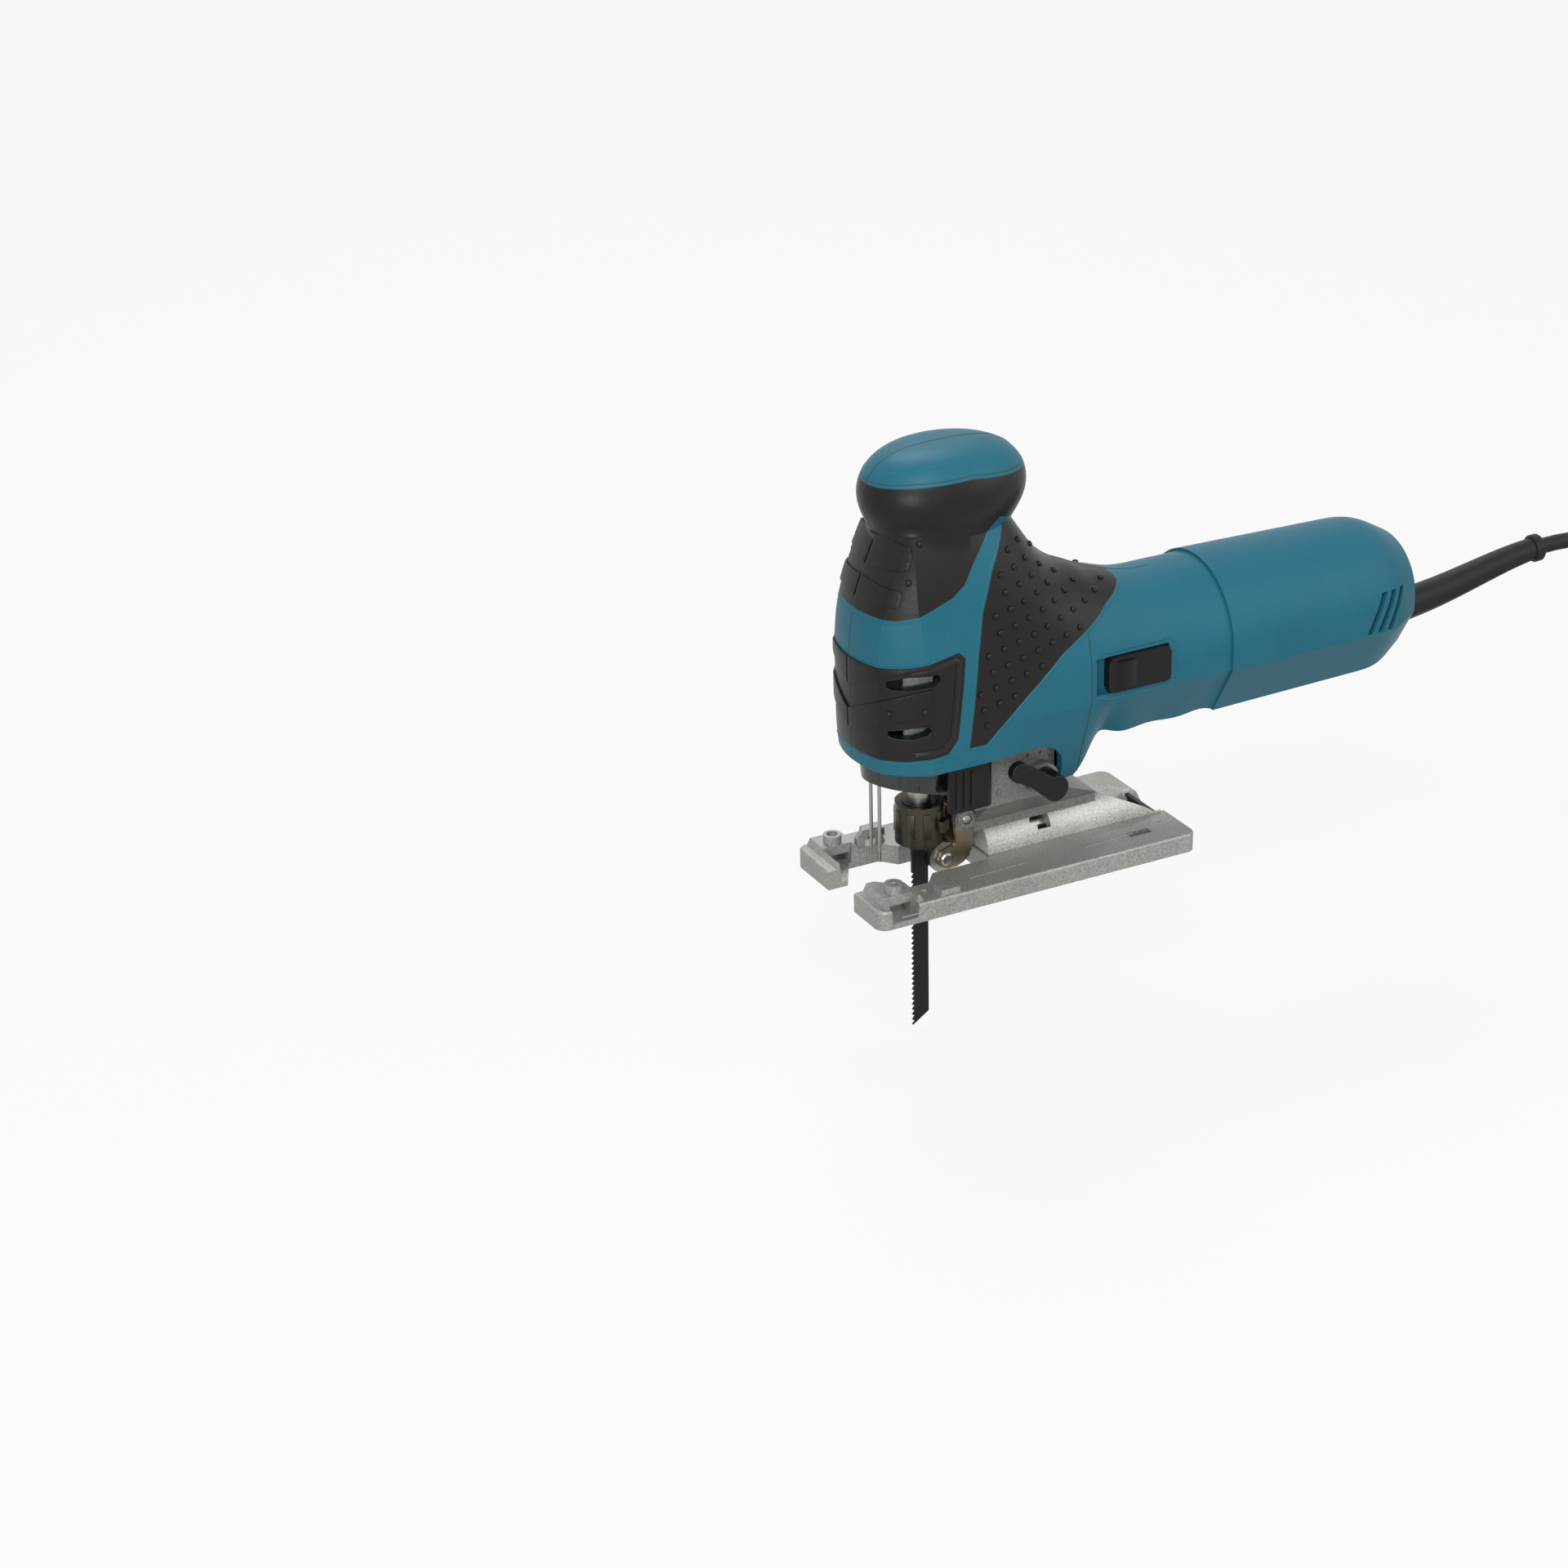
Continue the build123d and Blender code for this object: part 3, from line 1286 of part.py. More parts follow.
arm_pins = (
    ("roller_pin", roller_x, roller_z, arm_half_width),
    ("arm_pivot_pin", arm_pivot_x, arm_pivot_z, ear_half_width),
)
for pin_name, pin_x, pin_z, pin_half in arm_pins:
    with BuildPart() as arm_pin:
        with Locations((pin_x, 0, pin_z)):
            Cylinder(roller_pin_radius, 2 * pin_half, rotation=(90, 0, 0))
    arm_pin.part.label = pin_name
    export_step(arm_pin.part, "parts/" + pin_name + ".step")

# Orbit lever: a knob-ended arm on a shaft that runs into the gear housing
lever_tip_x = lever_x - lever_length * math.cos(math.radians(lever_rise))
lever_tip_z = lever_z + lever_length * math.sin(math.radians(lever_rise))
lever_arm_thickness = lever_arm_inner_y - lever_outer_y
with BuildPart() as orbit_lever:
    with Locations((lever_x, (lever_outer_y + lever_hub_inner_y) / 2, lever_z)):
        Cylinder(lever_hub_radius, lever_hub_inner_y - lever_outer_y, rotation=(90, 0, 0))
    with Locations((lever_tip_x, lever_outer_y + lever_arm_thickness / 2, lever_tip_z)):
        Cylinder(lever_tip_radius, lever_arm_thickness, rotation=(90, 0, 0))
    arm_middle = (
        (lever_x + lever_tip_x) / 2,
        lever_outer_y + lever_arm_thickness / 2,
        (lever_z + lever_tip_z) / 2,
    )
    with Locations(Location(arm_middle, (0, lever_rise, 0))):
        Box(lever_length, lever_arm_thickness, 2 * lever_tip_radius - 1.0)
    fillet(orbit_lever.edges().group_by(Axis.Y)[0], lever_edge_round)
orbit_lever.part.label = "orbit_lever"
export_step(orbit_lever.part, "parts/orbit_lever.step")

orbit_shaft_end_y = orbit_shaft_inner_y - slip
with BuildPart() as orbit_shaft:
    with Locations((lever_x, (lever_hub_inner_y + orbit_shaft_end_y) / 2, lever_z)):
        Cylinder(orbit_shaft_radius, orbit_shaft_end_y - lever_hub_inner_y, rotation=(90, 0, 0))
orbit_shaft.part.label = "orbit_shaft"
export_step(orbit_shaft.part, "parts/orbit_shaft.step")

# Slide switch: thumb piece in the barrel's side, its rod, and the switch block at the front
with BuildPart() as switch_slider:
    with Locations((switch_front_x + switch_length / 2, (switch_outer_y + switch_inner_y) / 2, switch_mid_z)):
        Box(switch_length, switch_inner_y - switch_outer_y, switch_height)
    fillet(switch_slider.edges().filter_by(Axis.Y), 3.0)
    with BuildSketch(Plane.XY.offset(switch_bottom + 2.0)):
        with BuildLine():
            hump_rear_x = switch_front_x + 3.0 + switch_hump_length
            hump_mid_x = switch_front_x + 3.0 + switch_hump_length / 2
            ThreePointArc(
                (switch_front_x + 3.0, switch_outer_y),
                (hump_mid_x, switch_hump_y),
                (hump_rear_x, switch_outer_y),
            )
            Line((hump_rear_x, switch_outer_y), (switch_front_x + 3.0, switch_outer_y))
        make_face()
    extrude(amount=switch_height - 4.0)
switch_slider.part.label = "switch_slider"
export_step(switch_slider.part, "parts/switch_slider.step")

switch_unit_rear_x = case_rear_x + switch_unit_length
rod_front_x = switch_unit_rear_x + switch_travel + slip
with BuildPart() as switch_rod:
    with Locations(((rod_front_x + rod_rear_x) / 2, rod_inner_y - rod_strip / 2, switch_mid_z)):
        Box(rod_rear_x - rod_front_x, rod_strip, 2 * rod_half_height)
    neck_front_x = switch_front_x + rod_neck_inset
    with Locations(((neck_front_x + rod_rear_x) / 2, (switch_inner_y + rod_inner_y) / 2, switch_mid_z)):
        Box(rod_rear_x - neck_front_x, rod_inner_y - switch_inner_y, 2 * rod_half_height)
switch_rod.part.label = "switch_rod"
export_step(switch_rod.part, "parts/switch_rod.step")

with BuildPart() as switch_unit:
    with Locations(
        (
            (case_rear_x + switch_unit_rear_x) / 2,
            (switch_unit_outer_y + switch_unit_inner_y) / 2,
            (switch_unit_bottom + switch_unit_top) / 2,
        )
    ):
        Box(
            switch_unit_length,
            switch_unit_inner_y - switch_unit_outer_y,
            switch_unit_top - switch_unit_bottom,
        )
    fillet(switch_unit.edges().filter_by(Axis.X), 1.0)
switch_unit.part.label = "switch_unit"
export_step(switch_unit.part, "parts/switch_unit.step")


def tooth_outline(teeth, addendum, dedendum, turn):
    """Points round a spur gear with straight-sided teeth, the first tooth at the given angle."""
    pitch_radius = gear_module * teeth / 2
    step = 360.0 / teeth
    points = []
    for i in range(teeth):
        centre = turn + step * i
        for share, radius in (
            (-0.25, pitch_radius - dedendum),
            (-0.13, pitch_radius + addendum),
            (0.13, pitch_radius + addendum),
            (0.25, pitch_radius - dedendum),
        ):
            angle = math.radians(centre + share * step)
            points.append((radius * math.cos(angle), radius * math.sin(angle)))
    return points


# Gearing: a small pinion on the motor shaft drives the large gear with its crank pin
tooth_addendum = 0.7 * gear_module
tooth_dedendum = 1.1 * gear_module
pinion_bore = 2.0
gear_places = (
    ("pinion", motor_axis_z, pinion_teeth, 90.0, pinion_bore),
    ("drive_gear", gear_axis_z, gear_teeth, 270.0 + 180.0 / gear_teeth, 0.0),
)
for gear_name, axis_z, teeth, turn, bore in gear_places:
    with BuildPart() as gear:
        with BuildSketch(Plane(origin=(gear_front_x, 0, axis_z), x_dir=(0, 1, 0), z_dir=(1, 0, 0))):
            with BuildLine():
                Polyline(*tooth_outline(teeth, tooth_addendum, tooth_dedendum, turn), close=True)
            make_face()
            if bore:
                Circle(bore, mode=Mode.SUBTRACT)
        extrude(amount=gear_thickness)
    gear.part.label = gear_name
    export_step(gear.part, "parts/" + gear_name + ".step")

crank_pin_front_x = yoke_rear_x + slip
with BuildPart() as crank_pin:
    with Locations(((crank_pin_front_x + gear_front_x) / 2, 0, yoke_z)):
        Cylinder(crank_pin_radius, gear_front_x - crank_pin_front_x, rotation=(0, 90, 0))
crank_pin.part.label = "crank_pin"
export_step(crank_pin.part, "parts/crank_pin.step")

gear_axle_end_x = front_bearing_x + bearing_width - seat_gap
with BuildPart() as gear_axle:
    with Locations(((gear_rear_x + gear_axle_end_x) / 2, 0, gear_axis_z)):
        Cylinder(gear_axle_radius, gear_axle_end_x - gear_rear_x, rotation=(0, 90, 0))
gear_axle.part.label = "gear_axle"
export_step(gear_axle.part, "parts/gear_axle.step")

bearings = (
    ("front_bearing", front_bearing_x, motor_axis_z, front_bearing_radius, shaft_radius),
    ("rear_bearing", rear_bearing_x, motor_axis_z, rear_bearing_radius, shaft_radius),
    ("gear_bearing", front_bearing_x, gear_axis_z, gear_bearing_radius, gear_axle_radius),
)
for bearing_name, bearing_x, bearing_z, outer_radius, bore_radius in bearings:
    with BuildPart() as bearing:
        with Locations((bearing_x + bearing_width / 2, 0, bearing_z)):
            Cylinder(outer_radius, bearing_width, rotation=(0, 90, 0))
            Cylinder(bore_radius + running_fit, bearing_width, rotation=(0, 90, 0), mode=Mode.SUBTRACT)
    bearing.part.label = bearing_name
    export_step(bearing.part, "parts/" + bearing_name + ".step")

# Motor: shaft, fan, wound core and commutator turn together inside the field
shaft_front_x = gear_front_x - 1.0
shaft_shoulder_x = front_bearing_x - 1.0
shaft_rear_x = rear_bearing_x + bearing_width + 2.0
with BuildPart() as armature_shaft:
    with Locations(((shaft_shoulder_x + shaft_rear_x) / 2, 0, motor_axis_z)):
        Cylinder(shaft_radius, shaft_rear_x - shaft_shoulder_x, rotation=(0, 90, 0))
    with Locations(((shaft_front_x + shaft_shoulder_x) / 2, 0, motor_axis_z)):
        Cylinder(pinion_bore, shaft_shoulder_x - shaft_front_x, rotation=(0, 90, 0))
armature_shaft.part.label = "armature_shaft"
export_step(armature_shaft.part, "parts/armature_shaft.step")

fan_hub_radius = 9.0
fan_disc = 2.0
fan_blade = 1.6
with BuildPart() as cooling_fan:
    with Locations((fan_x + fan_thickness / 2, 0, motor_axis_z)):
        Cylinder(fan_hub_radius, fan_thickness, rotation=(0, 90, 0))
    with Locations((fan_x + fan_disc / 2, 0, motor_axis_z)):
        Cylinder(fan_radius, fan_disc, rotation=(0, 90, 0))
    for i in range(fan_blades):
        with Locations(Location((fan_x + fan_thickness / 2, 0, motor_axis_z), (360.0 * i / fan_blades, 0, 0))):
            with Locations((0, 0, fan_hub_radius - 1.0)):
                Box(
                    fan_thickness,
                    fan_blade,
                    fan_radius - fan_hub_radius,
                    align=(Align.CENTER, Align.CENTER, Align.MIN),
                )
    with Locations((fan_x + fan_thickness / 2, 0, motor_axis_z)):
        Cylinder(shaft_radius, 2 * fan_thickness, rotation=(0, 90, 0), mode=Mode.SUBTRACT)
cooling_fan.part.label = "cooling_fan"
export_step(cooling_fan.part, "parts/cooling_fan.step")

core_rear_x = core_front_x + core_length
winding_overhang = 5.0
winding_radius = 15.0
field_bore = core_radius + air_gap
coil_outer = sleeve_bore - 1.0
rings = (
    ("armature_core", ((core_front_x, core_rear_x),), core_radius, shaft_radius),
    (
        "armature_windings",
        ((core_front_x - winding_overhang, core_front_x), (core_rear_x, core_rear_x + winding_overhang)),
        winding_radius,
        shaft_radius,
    ),
    ("commutator", ((commutator_x, commutator_x + commutator_length),), commutator_radius, shaft_radius),
    ("field_core", ((core_front_x, core_rear_x),), field_radius, field_bore),
    (
        "field_coils",
        ((core_front_x - winding_overhang, core_front_x), (core_rear_x, core_rear_x + winding_overhang)),
        coil_outer,
        field_bore,
    ),
)
for ring_name, spans, outer_radius, bore_radius in rings:
    with BuildPart() as ring:
        for span_front, span_rear in spans:
            with Locations(((span_front + span_rear) / 2, 0, motor_axis_z)):
                Cylinder(outer_radius, span_rear - span_front, rotation=(0, 90, 0))
                Cylinder(bore_radius, span_rear - span_front, rotation=(0, 90, 0), mode=Mode.SUBTRACT)
        if ring_name == "field_core":
            with Locations((core_front_x, 0, motor_axis_z - field_flat)):
                Box(
                    4 * core_length,
                    4 * field_radius,
                    field_radius,
                    align=(Align.CENTER, Align.CENTER, Align.MAX),
                    mode=Mode.SUBTRACT,
                )
    ring.part.label = ring_name
    export_step(ring.part, "parts/" + ring_name + ".step")

brush_x = commutator_x + commutator_length / 2
holder_inner = commutator_radius + 1.0
holder_half_height = brush_height / 2 + holder_wall
holder_outer = math.sqrt(sleeve_bore**2 - holder_half_height**2) - seat_gap
brush_inner = commutator_radius + slip
with BuildPart() as brush_holders:
    for sign in (-1, 1):
        with Locations((brush_x, sign * (holder_inner + holder_outer) / 2, motor_axis_z)):
            Box(brush_width + 2 * holder_wall, holder_outer - holder_inner, 2 * holder_half_height)
            Box(brush_width, holder_outer - holder_inner, brush_height, mode=Mode.SUBTRACT)
brush_holders.part.label = "brush_holders"
export_step(brush_holders.part, "parts/brush_holders.step")

with BuildPart() as carbon_brushes:
    for sign in (-1, 1):
        with Locations((brush_x, sign * (brush_inner + brush_length / 2), motor_axis_z)):
            Box(brush_width, brush_length, brush_height)
carbon_brushes.part.label = "carbon_brushes"
export_step(carbon_brushes.part, "parts/carbon_brushes.step")

# Speed control: a block behind the motor with two cheeks that hold the thumb wheel
cheek_inner = dial_width / 2 + slip
cheek_rear_x = dial_x + cheek_half_height
with BuildPart() as speed_controller:
    with Locations(((sleeve_rear_x + controller_rear_x) / 2, 0, (controller_bottom + controller_top) / 2)):
        Box(controller_rear_x - sleeve_rear_x, 2 * controller_half_width, controller_top - controller_bottom)
    for sign in (-1, 1):
        cheek_y = sign * (cheek_inner + cheek_thickness / 2)
        with Locations(((controller_rear_x + cheek_rear_x) / 2, cheek_y, dial_z)):
            Box(cheek_rear_x - controller_rear_x, cheek_thickness, 2 * cheek_half_height)
    with Locations((dial_x, 0, dial_z)):
        Cylinder(dial_pin_radius, cut_length, rotation=(90, 0, 0), mode=Mode.SUBTRACT)
speed_controller.part.label = "speed_controller"
export_step(speed_controller.part, "parts/speed_controller.step")

with BuildPart() as dial_pin:
    with Locations((dial_x, 0, dial_z)):
        Cylinder(dial_pin_radius, 2 * (cheek_inner + cheek_thickness), rotation=(90, 0, 0))
dial_pin.part.label = "dial_pin"
export_step(dial_pin.part, "parts/dial_pin.step")

with BuildPart() as speed_dial:
    with BuildSketch(Plane.XZ.offset(-dial_width / 2)):
        with Locations((dial_x, dial_z)):
            Circle(dial_radius)
            with PolarLocations(dial_radius, dial_notches):
                Circle(dial_notch_radius, mode=Mode.SUBTRACT)
            Circle(dial_pin_radius + running_fit, mode=Mode.SUBTRACT)
    extrude(amount=dial_width)
speed_dial.part.label = "speed_dial"
export_step(speed_dial.part, "parts/speed_dial.step")

# Cord guard: a tapered rubber sleeve that leaves the rear cover level and rises to its tip
guard_bend_x = (235.0, 262.0)
guard_bend_z = 86.5
guard_sections = 9
guard_controls = (
    Vector(guard_front_x, 0, guard_z),
    Vector(guard_bend_x[0], 0, guard_z),
    Vector(guard_bend_x[1], 0, guard_bend_z),
    Vector(*guard_tip),
)
guard_rings = []
for i in range(guard_sections):
    t = i / (guard_sections - 1)
    a, b, c, d = guard_controls
    centre = a * (1 - t) ** 3 + b * (3 * t * (1 - t) ** 2) + c * (3 * t**2 * (1 - t)) + d * t**3
    heading = (b - a) * (1 - t) ** 2 + (c - b) * (2 * t * (1 - t)) + (d - c) * t**2
    with BuildSketch(Plane(origin=centre, x_dir=(0, 1, 0), z_dir=heading)) as guard_ring:
        Circle(guard_root_radius + (guard_tip_radius - guard_root_radius) * t)
    guard_rings.append(guard_ring.sketch)
with BuildPart() as cord_guard:
    loft(guard_rings)
cord_guard.part.label = "cord_guard"
export_step(cord_guard.part, "parts/cord_guard.step")

# Cord lead: out of the guard and down in one hanging run onto the coil's top layer
coil_low_z = floor_z + tie_thickness + slip + cord_diameter / 2
coil_high_z = coil_low_z + coil_layer_rise * (coil_layers - 1)
lead_points = (
    guard_tip,
    (311.2, 0.0, 88.7),
    (324.4, 0.0, 83.1),
    (334.5, 1.0, 73.0),
    (340.0, 4.0, 59.8),
    (340.0, 20.0, -15.6),
    (345.5, 22.2, -28.8),
    (355.6, 22.9, -39.0),
    (368.8, coil_start_y, coil_high_z),
    (coil_x - cord_diameter, coil_start_y, coil_high_z),
)
lead_radii = []
for before, here, after in zip(lead_points, lead_points[1:], lead_points[2:]):
    run_in = Vector(*here) - Vector(*before)
    run_out = Vector(*after) - Vector(*here)
    half_turn = math.radians(run_in.get_angle(run_out)) / 2
    lead_radii.append(0.45 * min(run_in.length, run_out.length) / math.tan(half_turn))
print("cord lead radii", [round(radius, 1) for radius in lead_radii])
with BuildPart() as cord_lead:
    with BuildLine() as lead_path:
        FilletPolyline(*lead_points, radius=lead_radii)
    with BuildSketch(Plane(origin=lead_points[0], z_dir=lead_path.wire() % 0)):
        Circle(cord_diameter / 2)
    sweep(path=lead_path.wire())
lead_section = math.pi * cord_diameter**2 / 4
lead_length = lead_path.wire().length
lead_share = cord_lead.part.volume / lead_section / lead_length
print("cord lead length", round(lead_length, 1), "volume share", round(lead_share, 4))
cord_lead.part.label = "cord_lead"
export_step(cord_lead.part, "parts/cord_lead.step")

# Cord coil: flat spirals in and out by turns, from the top layer down to the floor
coil_outer_radius = coil_inner_radius + coil_pitch * coil_turns_per_layer
coil_centre = Vector(coil_x, coil_start_y - coil_outer_radius, 0)
layer_quarters = round(4 * coil_turns_per_layer)
climb_quarters = 2
layer_span = layer_quarters + climb_quarters
coil_quarters = coil_layers * layer_span - climb_quarters


def coil_point(quarter):
    """Place of the cord's centre after so many quarter turns of the coil."""
    layer = int(quarter // layer_span)
    within = quarter - layer_span * layer
    travel = coil_pitch * min(within, layer_quarters) / 4
    radius = coil_inner_radius + travel if layer % 2 else coil_outer_radius - travel
    climb = max(0, within - layer_quarters) / climb_quarters
    z = coil_high_z - coil_layer_rise * (layer + (1 - math.cos(math.pi * climb)) / 2)
    angle = math.radians(90.0 - 90.0 * quarter)
    return coil_centre + Vector(radius * math.cos(angle), radius * math.sin(angle), z)


def coil_heading(quarter):
    """Direction of the cord at that place, taken square to its radius at both ends of the coil."""
    if quarter in (0, coil_quarters):
        angle = math.radians(90.0 - 90.0 * quarter)
        return Vector(math.sin(angle), -math.cos(angle), 0)
    return (coil_point(quarter + 0.01) - coil_point(quarter - 0.01)).normalized()


coil_start = coil_point(0) - coil_heading(0) * cord_diameter
tail_start = coil_point(coil_quarters)
tail_heading = coil_heading(coil_quarters)
plug_z = floor_z + plug_height / 2
coil_end = tail_start + tail_heading * coil_tail + Vector(0, 0, plug_z - coil_low_z)
tail_middle = (tail_start + coil_end) * 0.5
tail_chord = (coil_end - tail_start).normalized()
tail_turned = tail_chord * (2 * tail_chord.dot(tail_heading)) - tail_heading
with BuildPart() as cord_coil:
    with BuildLine() as coil_path:
        Line(coil_start, coil_point(0))
        for quarter in range(coil_quarters):
            start = coil_point(quarter)
            end = coil_point(quarter + 1)
            start_heading = coil_heading(quarter)
            end_heading = coil_heading(quarter + 1)
            chord = end - start
            both = start_heading + end_heading
            bend = 2 * (1 - start_heading.dot(end_heading))
            reach = (math.sqrt(chord.dot(both) ** 2 + bend * chord.dot(chord)) - chord.dot(both)) / bend
            near = start + start_heading * reach
            far = end - end_heading * reach
            middle = (near + far) * 0.5
            TangentArc(start, middle, tangent=start_heading)
            TangentArc(middle, end, tangent=far - near)
        TangentArc(tail_start, tail_middle, tangent=tail_heading)
        TangentArc(tail_middle, coil_end, tangent=tail_turned)
    with BuildSketch(Plane(origin=coil_start, z_dir=coil_heading(0))):
        Circle(cord_diameter / 2)
    sweep(path=coil_path.wire())
coil_length = coil_path.wire().length
coil_share = cord_coil.part.volume / lead_section / coil_length
print("cord coil length", round(coil_length, 1), "volume share", round(coil_share, 4))
samples_per_turn = 40
coil_samples = [coil_point(4 * i / samples_per_turn) for i in range(samples_per_turn * coil_quarters // 4 + 1)]
least_gap = min(
    (coil_samples[i] - coil_samples[j]).length
    for i in range(len(coil_samples))
    for j in range(i + samples_per_turn // 2, len(coil_samples))
)
print("cord coil least gap", round(least_gap - cord_diameter, 2))
cord_coil.part.label = "cord_coil"
export_step(cord_coil.part, "parts/cord_coil.step")

tie_inner_r = coil_inner_radius - cord_diameter / 2 - slip
tie_outer_r = coil_outer_radius + cord_diameter / 2 + slip
tie_low_z = coil_low_z - cord_diameter / 2 - slip
tie_high_z = coil_high_z + cord_diameter / 2 + slip
with BuildPart() as coil_tie:
    with Locations((coil_x + (tie_inner_r + tie_outer_r) / 2, coil_centre.Y, (tie_low_z + tie_high_z) / 2)):
        Box(
            tie_outer_r - tie_inner_r + 2 * tie_thickness,
            tie_width,
            tie_high_z - tie_low_z + 2 * tie_thickness,
        )
        Box(tie_outer_r - tie_inner_r, tie_width, tie_high_z - tie_low_z, mode=Mode.SUBTRACT)
coil_tie.part.label = "coil_tie"
export_step(coil_tie.part, "parts/coil_tie.step")

# Mains plug: a flat-sided moulded body with two round pins
plug_round = 5.0
plug_pin_radius = 2.4
plug_pin_length = 19.0
plug_pin_half = 8.0
plug_rear = coil_end.X
with BuildPart() as mains_plug:
    with Locations((plug_rear - plug_length / 2, coil_end.Y, plug_z)):
        Box(plug_length, plug_width, plug_height)
    fillet(mains_plug.edges().filter_by(Axis.X), plug_round)
    pin_offsets = (-plug_pin_half, plug_pin_half)
    with Locations([(plug_rear - plug_length, coil_end.Y + y, plug_z) for y in pin_offsets]):
        Cylinder(
            plug_pin_radius,
            plug_pin_length,
            rotation=(0, -90, 0),
            align=(Align.CENTER, Align.CENTER, Align.MIN),
        )
mains_plug.part.label = "mains_plug"
export_step(mains_plug.part, "parts/mains_plug.step")
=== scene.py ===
"""Looks of a corded barrel-grip jigsaw: finishes, cord and fine detail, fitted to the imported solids."""
import math

import bpy
from mathutils import Matrix, Vector
from mathutils.bvhtree import BVHTree


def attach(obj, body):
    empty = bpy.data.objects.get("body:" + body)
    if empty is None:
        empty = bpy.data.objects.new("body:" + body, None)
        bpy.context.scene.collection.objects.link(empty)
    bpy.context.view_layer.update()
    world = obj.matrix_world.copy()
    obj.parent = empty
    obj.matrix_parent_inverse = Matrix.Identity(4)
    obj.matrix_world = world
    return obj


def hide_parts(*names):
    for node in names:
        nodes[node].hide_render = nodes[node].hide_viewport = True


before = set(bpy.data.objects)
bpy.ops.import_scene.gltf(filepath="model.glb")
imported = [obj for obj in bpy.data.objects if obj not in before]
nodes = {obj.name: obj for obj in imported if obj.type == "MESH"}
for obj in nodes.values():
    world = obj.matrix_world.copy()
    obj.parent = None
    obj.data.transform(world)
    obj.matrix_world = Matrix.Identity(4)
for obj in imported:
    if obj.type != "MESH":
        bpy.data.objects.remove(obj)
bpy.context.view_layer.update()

MM = 0.001
OUTSIDE = 90.0 * MM  # further out than any skin of the tool: where lines drawn onto a skin start
SIDES = ((-1.0, "left"), (1.0, "right"))

# Camera: a long lens from the front left and above, rolled a little as the photograph is.
# Its angles, distance and roll were worked out from the tool's own edges.
view_azimuth = math.radians(-26.94)
view_elevation = math.radians(25.08)
view_roll = math.radians(-1.38)
view_distance = 1500.19 * MM
view_target = Vector((-103.89, 0.0, 59.76)) * MM
back = Vector(
    (
        math.sin(view_azimuth) * math.cos(view_elevation),
        -math.cos(view_azimuth) * math.cos(view_elevation),
        math.sin(view_elevation),
    )
)
level = Vector((math.cos(view_azimuth), math.sin(view_azimuth), 0.0))
upright = back.cross(level)
right = level * math.cos(view_roll) + upright * math.sin(view_roll)
up = upright * math.cos(view_roll) - level * math.sin(view_roll)
camera_data = bpy.data.cameras.new("camera")
camera_data.sensor_width = 36.0
camera_data.lens = 82.06
camera = bpy.data.objects.new("camera", camera_data)
bpy.context.scene.collection.objects.link(camera)
turned = Matrix((right, up, back)).transposed().to_4x4()
camera.matrix_world = Matrix.Translation(view_target + back * view_distance) @ turned
bpy.context.scene.camera = camera
bpy.context.scene.view_settings.view_transform = "Standard"


# Mains cord: two-core rubber flex with a matt black jacket. It leaves the guard's tip level and hangs down
# onto a tied coil of four flat layers, wound in and out by turns, which ends at the plug.
def linear(code):
    """Linear colour of an sRGB hex code such as "3d7a8c"."""
    channels = [int(code[i:i + 2], 16) / 255 for i in (0, 2, 4)]
    return tuple(c / 12.92 if c <= 0.04045 else ((c + 0.055) / 1.055) ** 2.4 for c in channels) + (1.0,)


def add_node(material, kind, links=(), sockets=(), **settings):
    """Adds one node, sets its fields and sockets, and joins (source node, output, input) triples to it."""
    node = material.node_tree.nodes.new(kind)
    for field, value in settings.items():
        setattr(node, field, value)
    for socket, value in dict(sockets).items():
        node.inputs[socket].default_value = value
    for source, output, target in links:
        material.node_tree.links.new(source.outputs[output], node.inputs[target])
    return node


def noise_of(material, size, detail):
    """A noise texture in the object's own space, with features of about one size."""
    place = add_node(material, "ShaderNodeTexCoord")
    sockets = {"Scale": 1 / size, "Detail": detail}
    return add_node(material, "ShaderNodeTexNoise", [(place, "Object", "Vector")], sockets)


def toned(material, noise, dark, light):
    """A colour that drifts with a noise texture between two sRGB hex codes."""
    tones = {"A": linear(dark), "B": linear(light)}
    return add_node(material, "ShaderNodeMix", [(noise, "Fac", "Factor")], tones, data_type="RGBA")


def spread(material, noise, low, high, noise_low=0.3, noise_high=0.7):
    """A value from low to high that follows a noise texture over its usual range."""
    limits = {"From Min": noise_low, "From Max": noise_high, "To Min": low, "To Max": high}
    return add_node(material, "ShaderNodeMapRange", [(noise, "Fac", "Value")], limits)


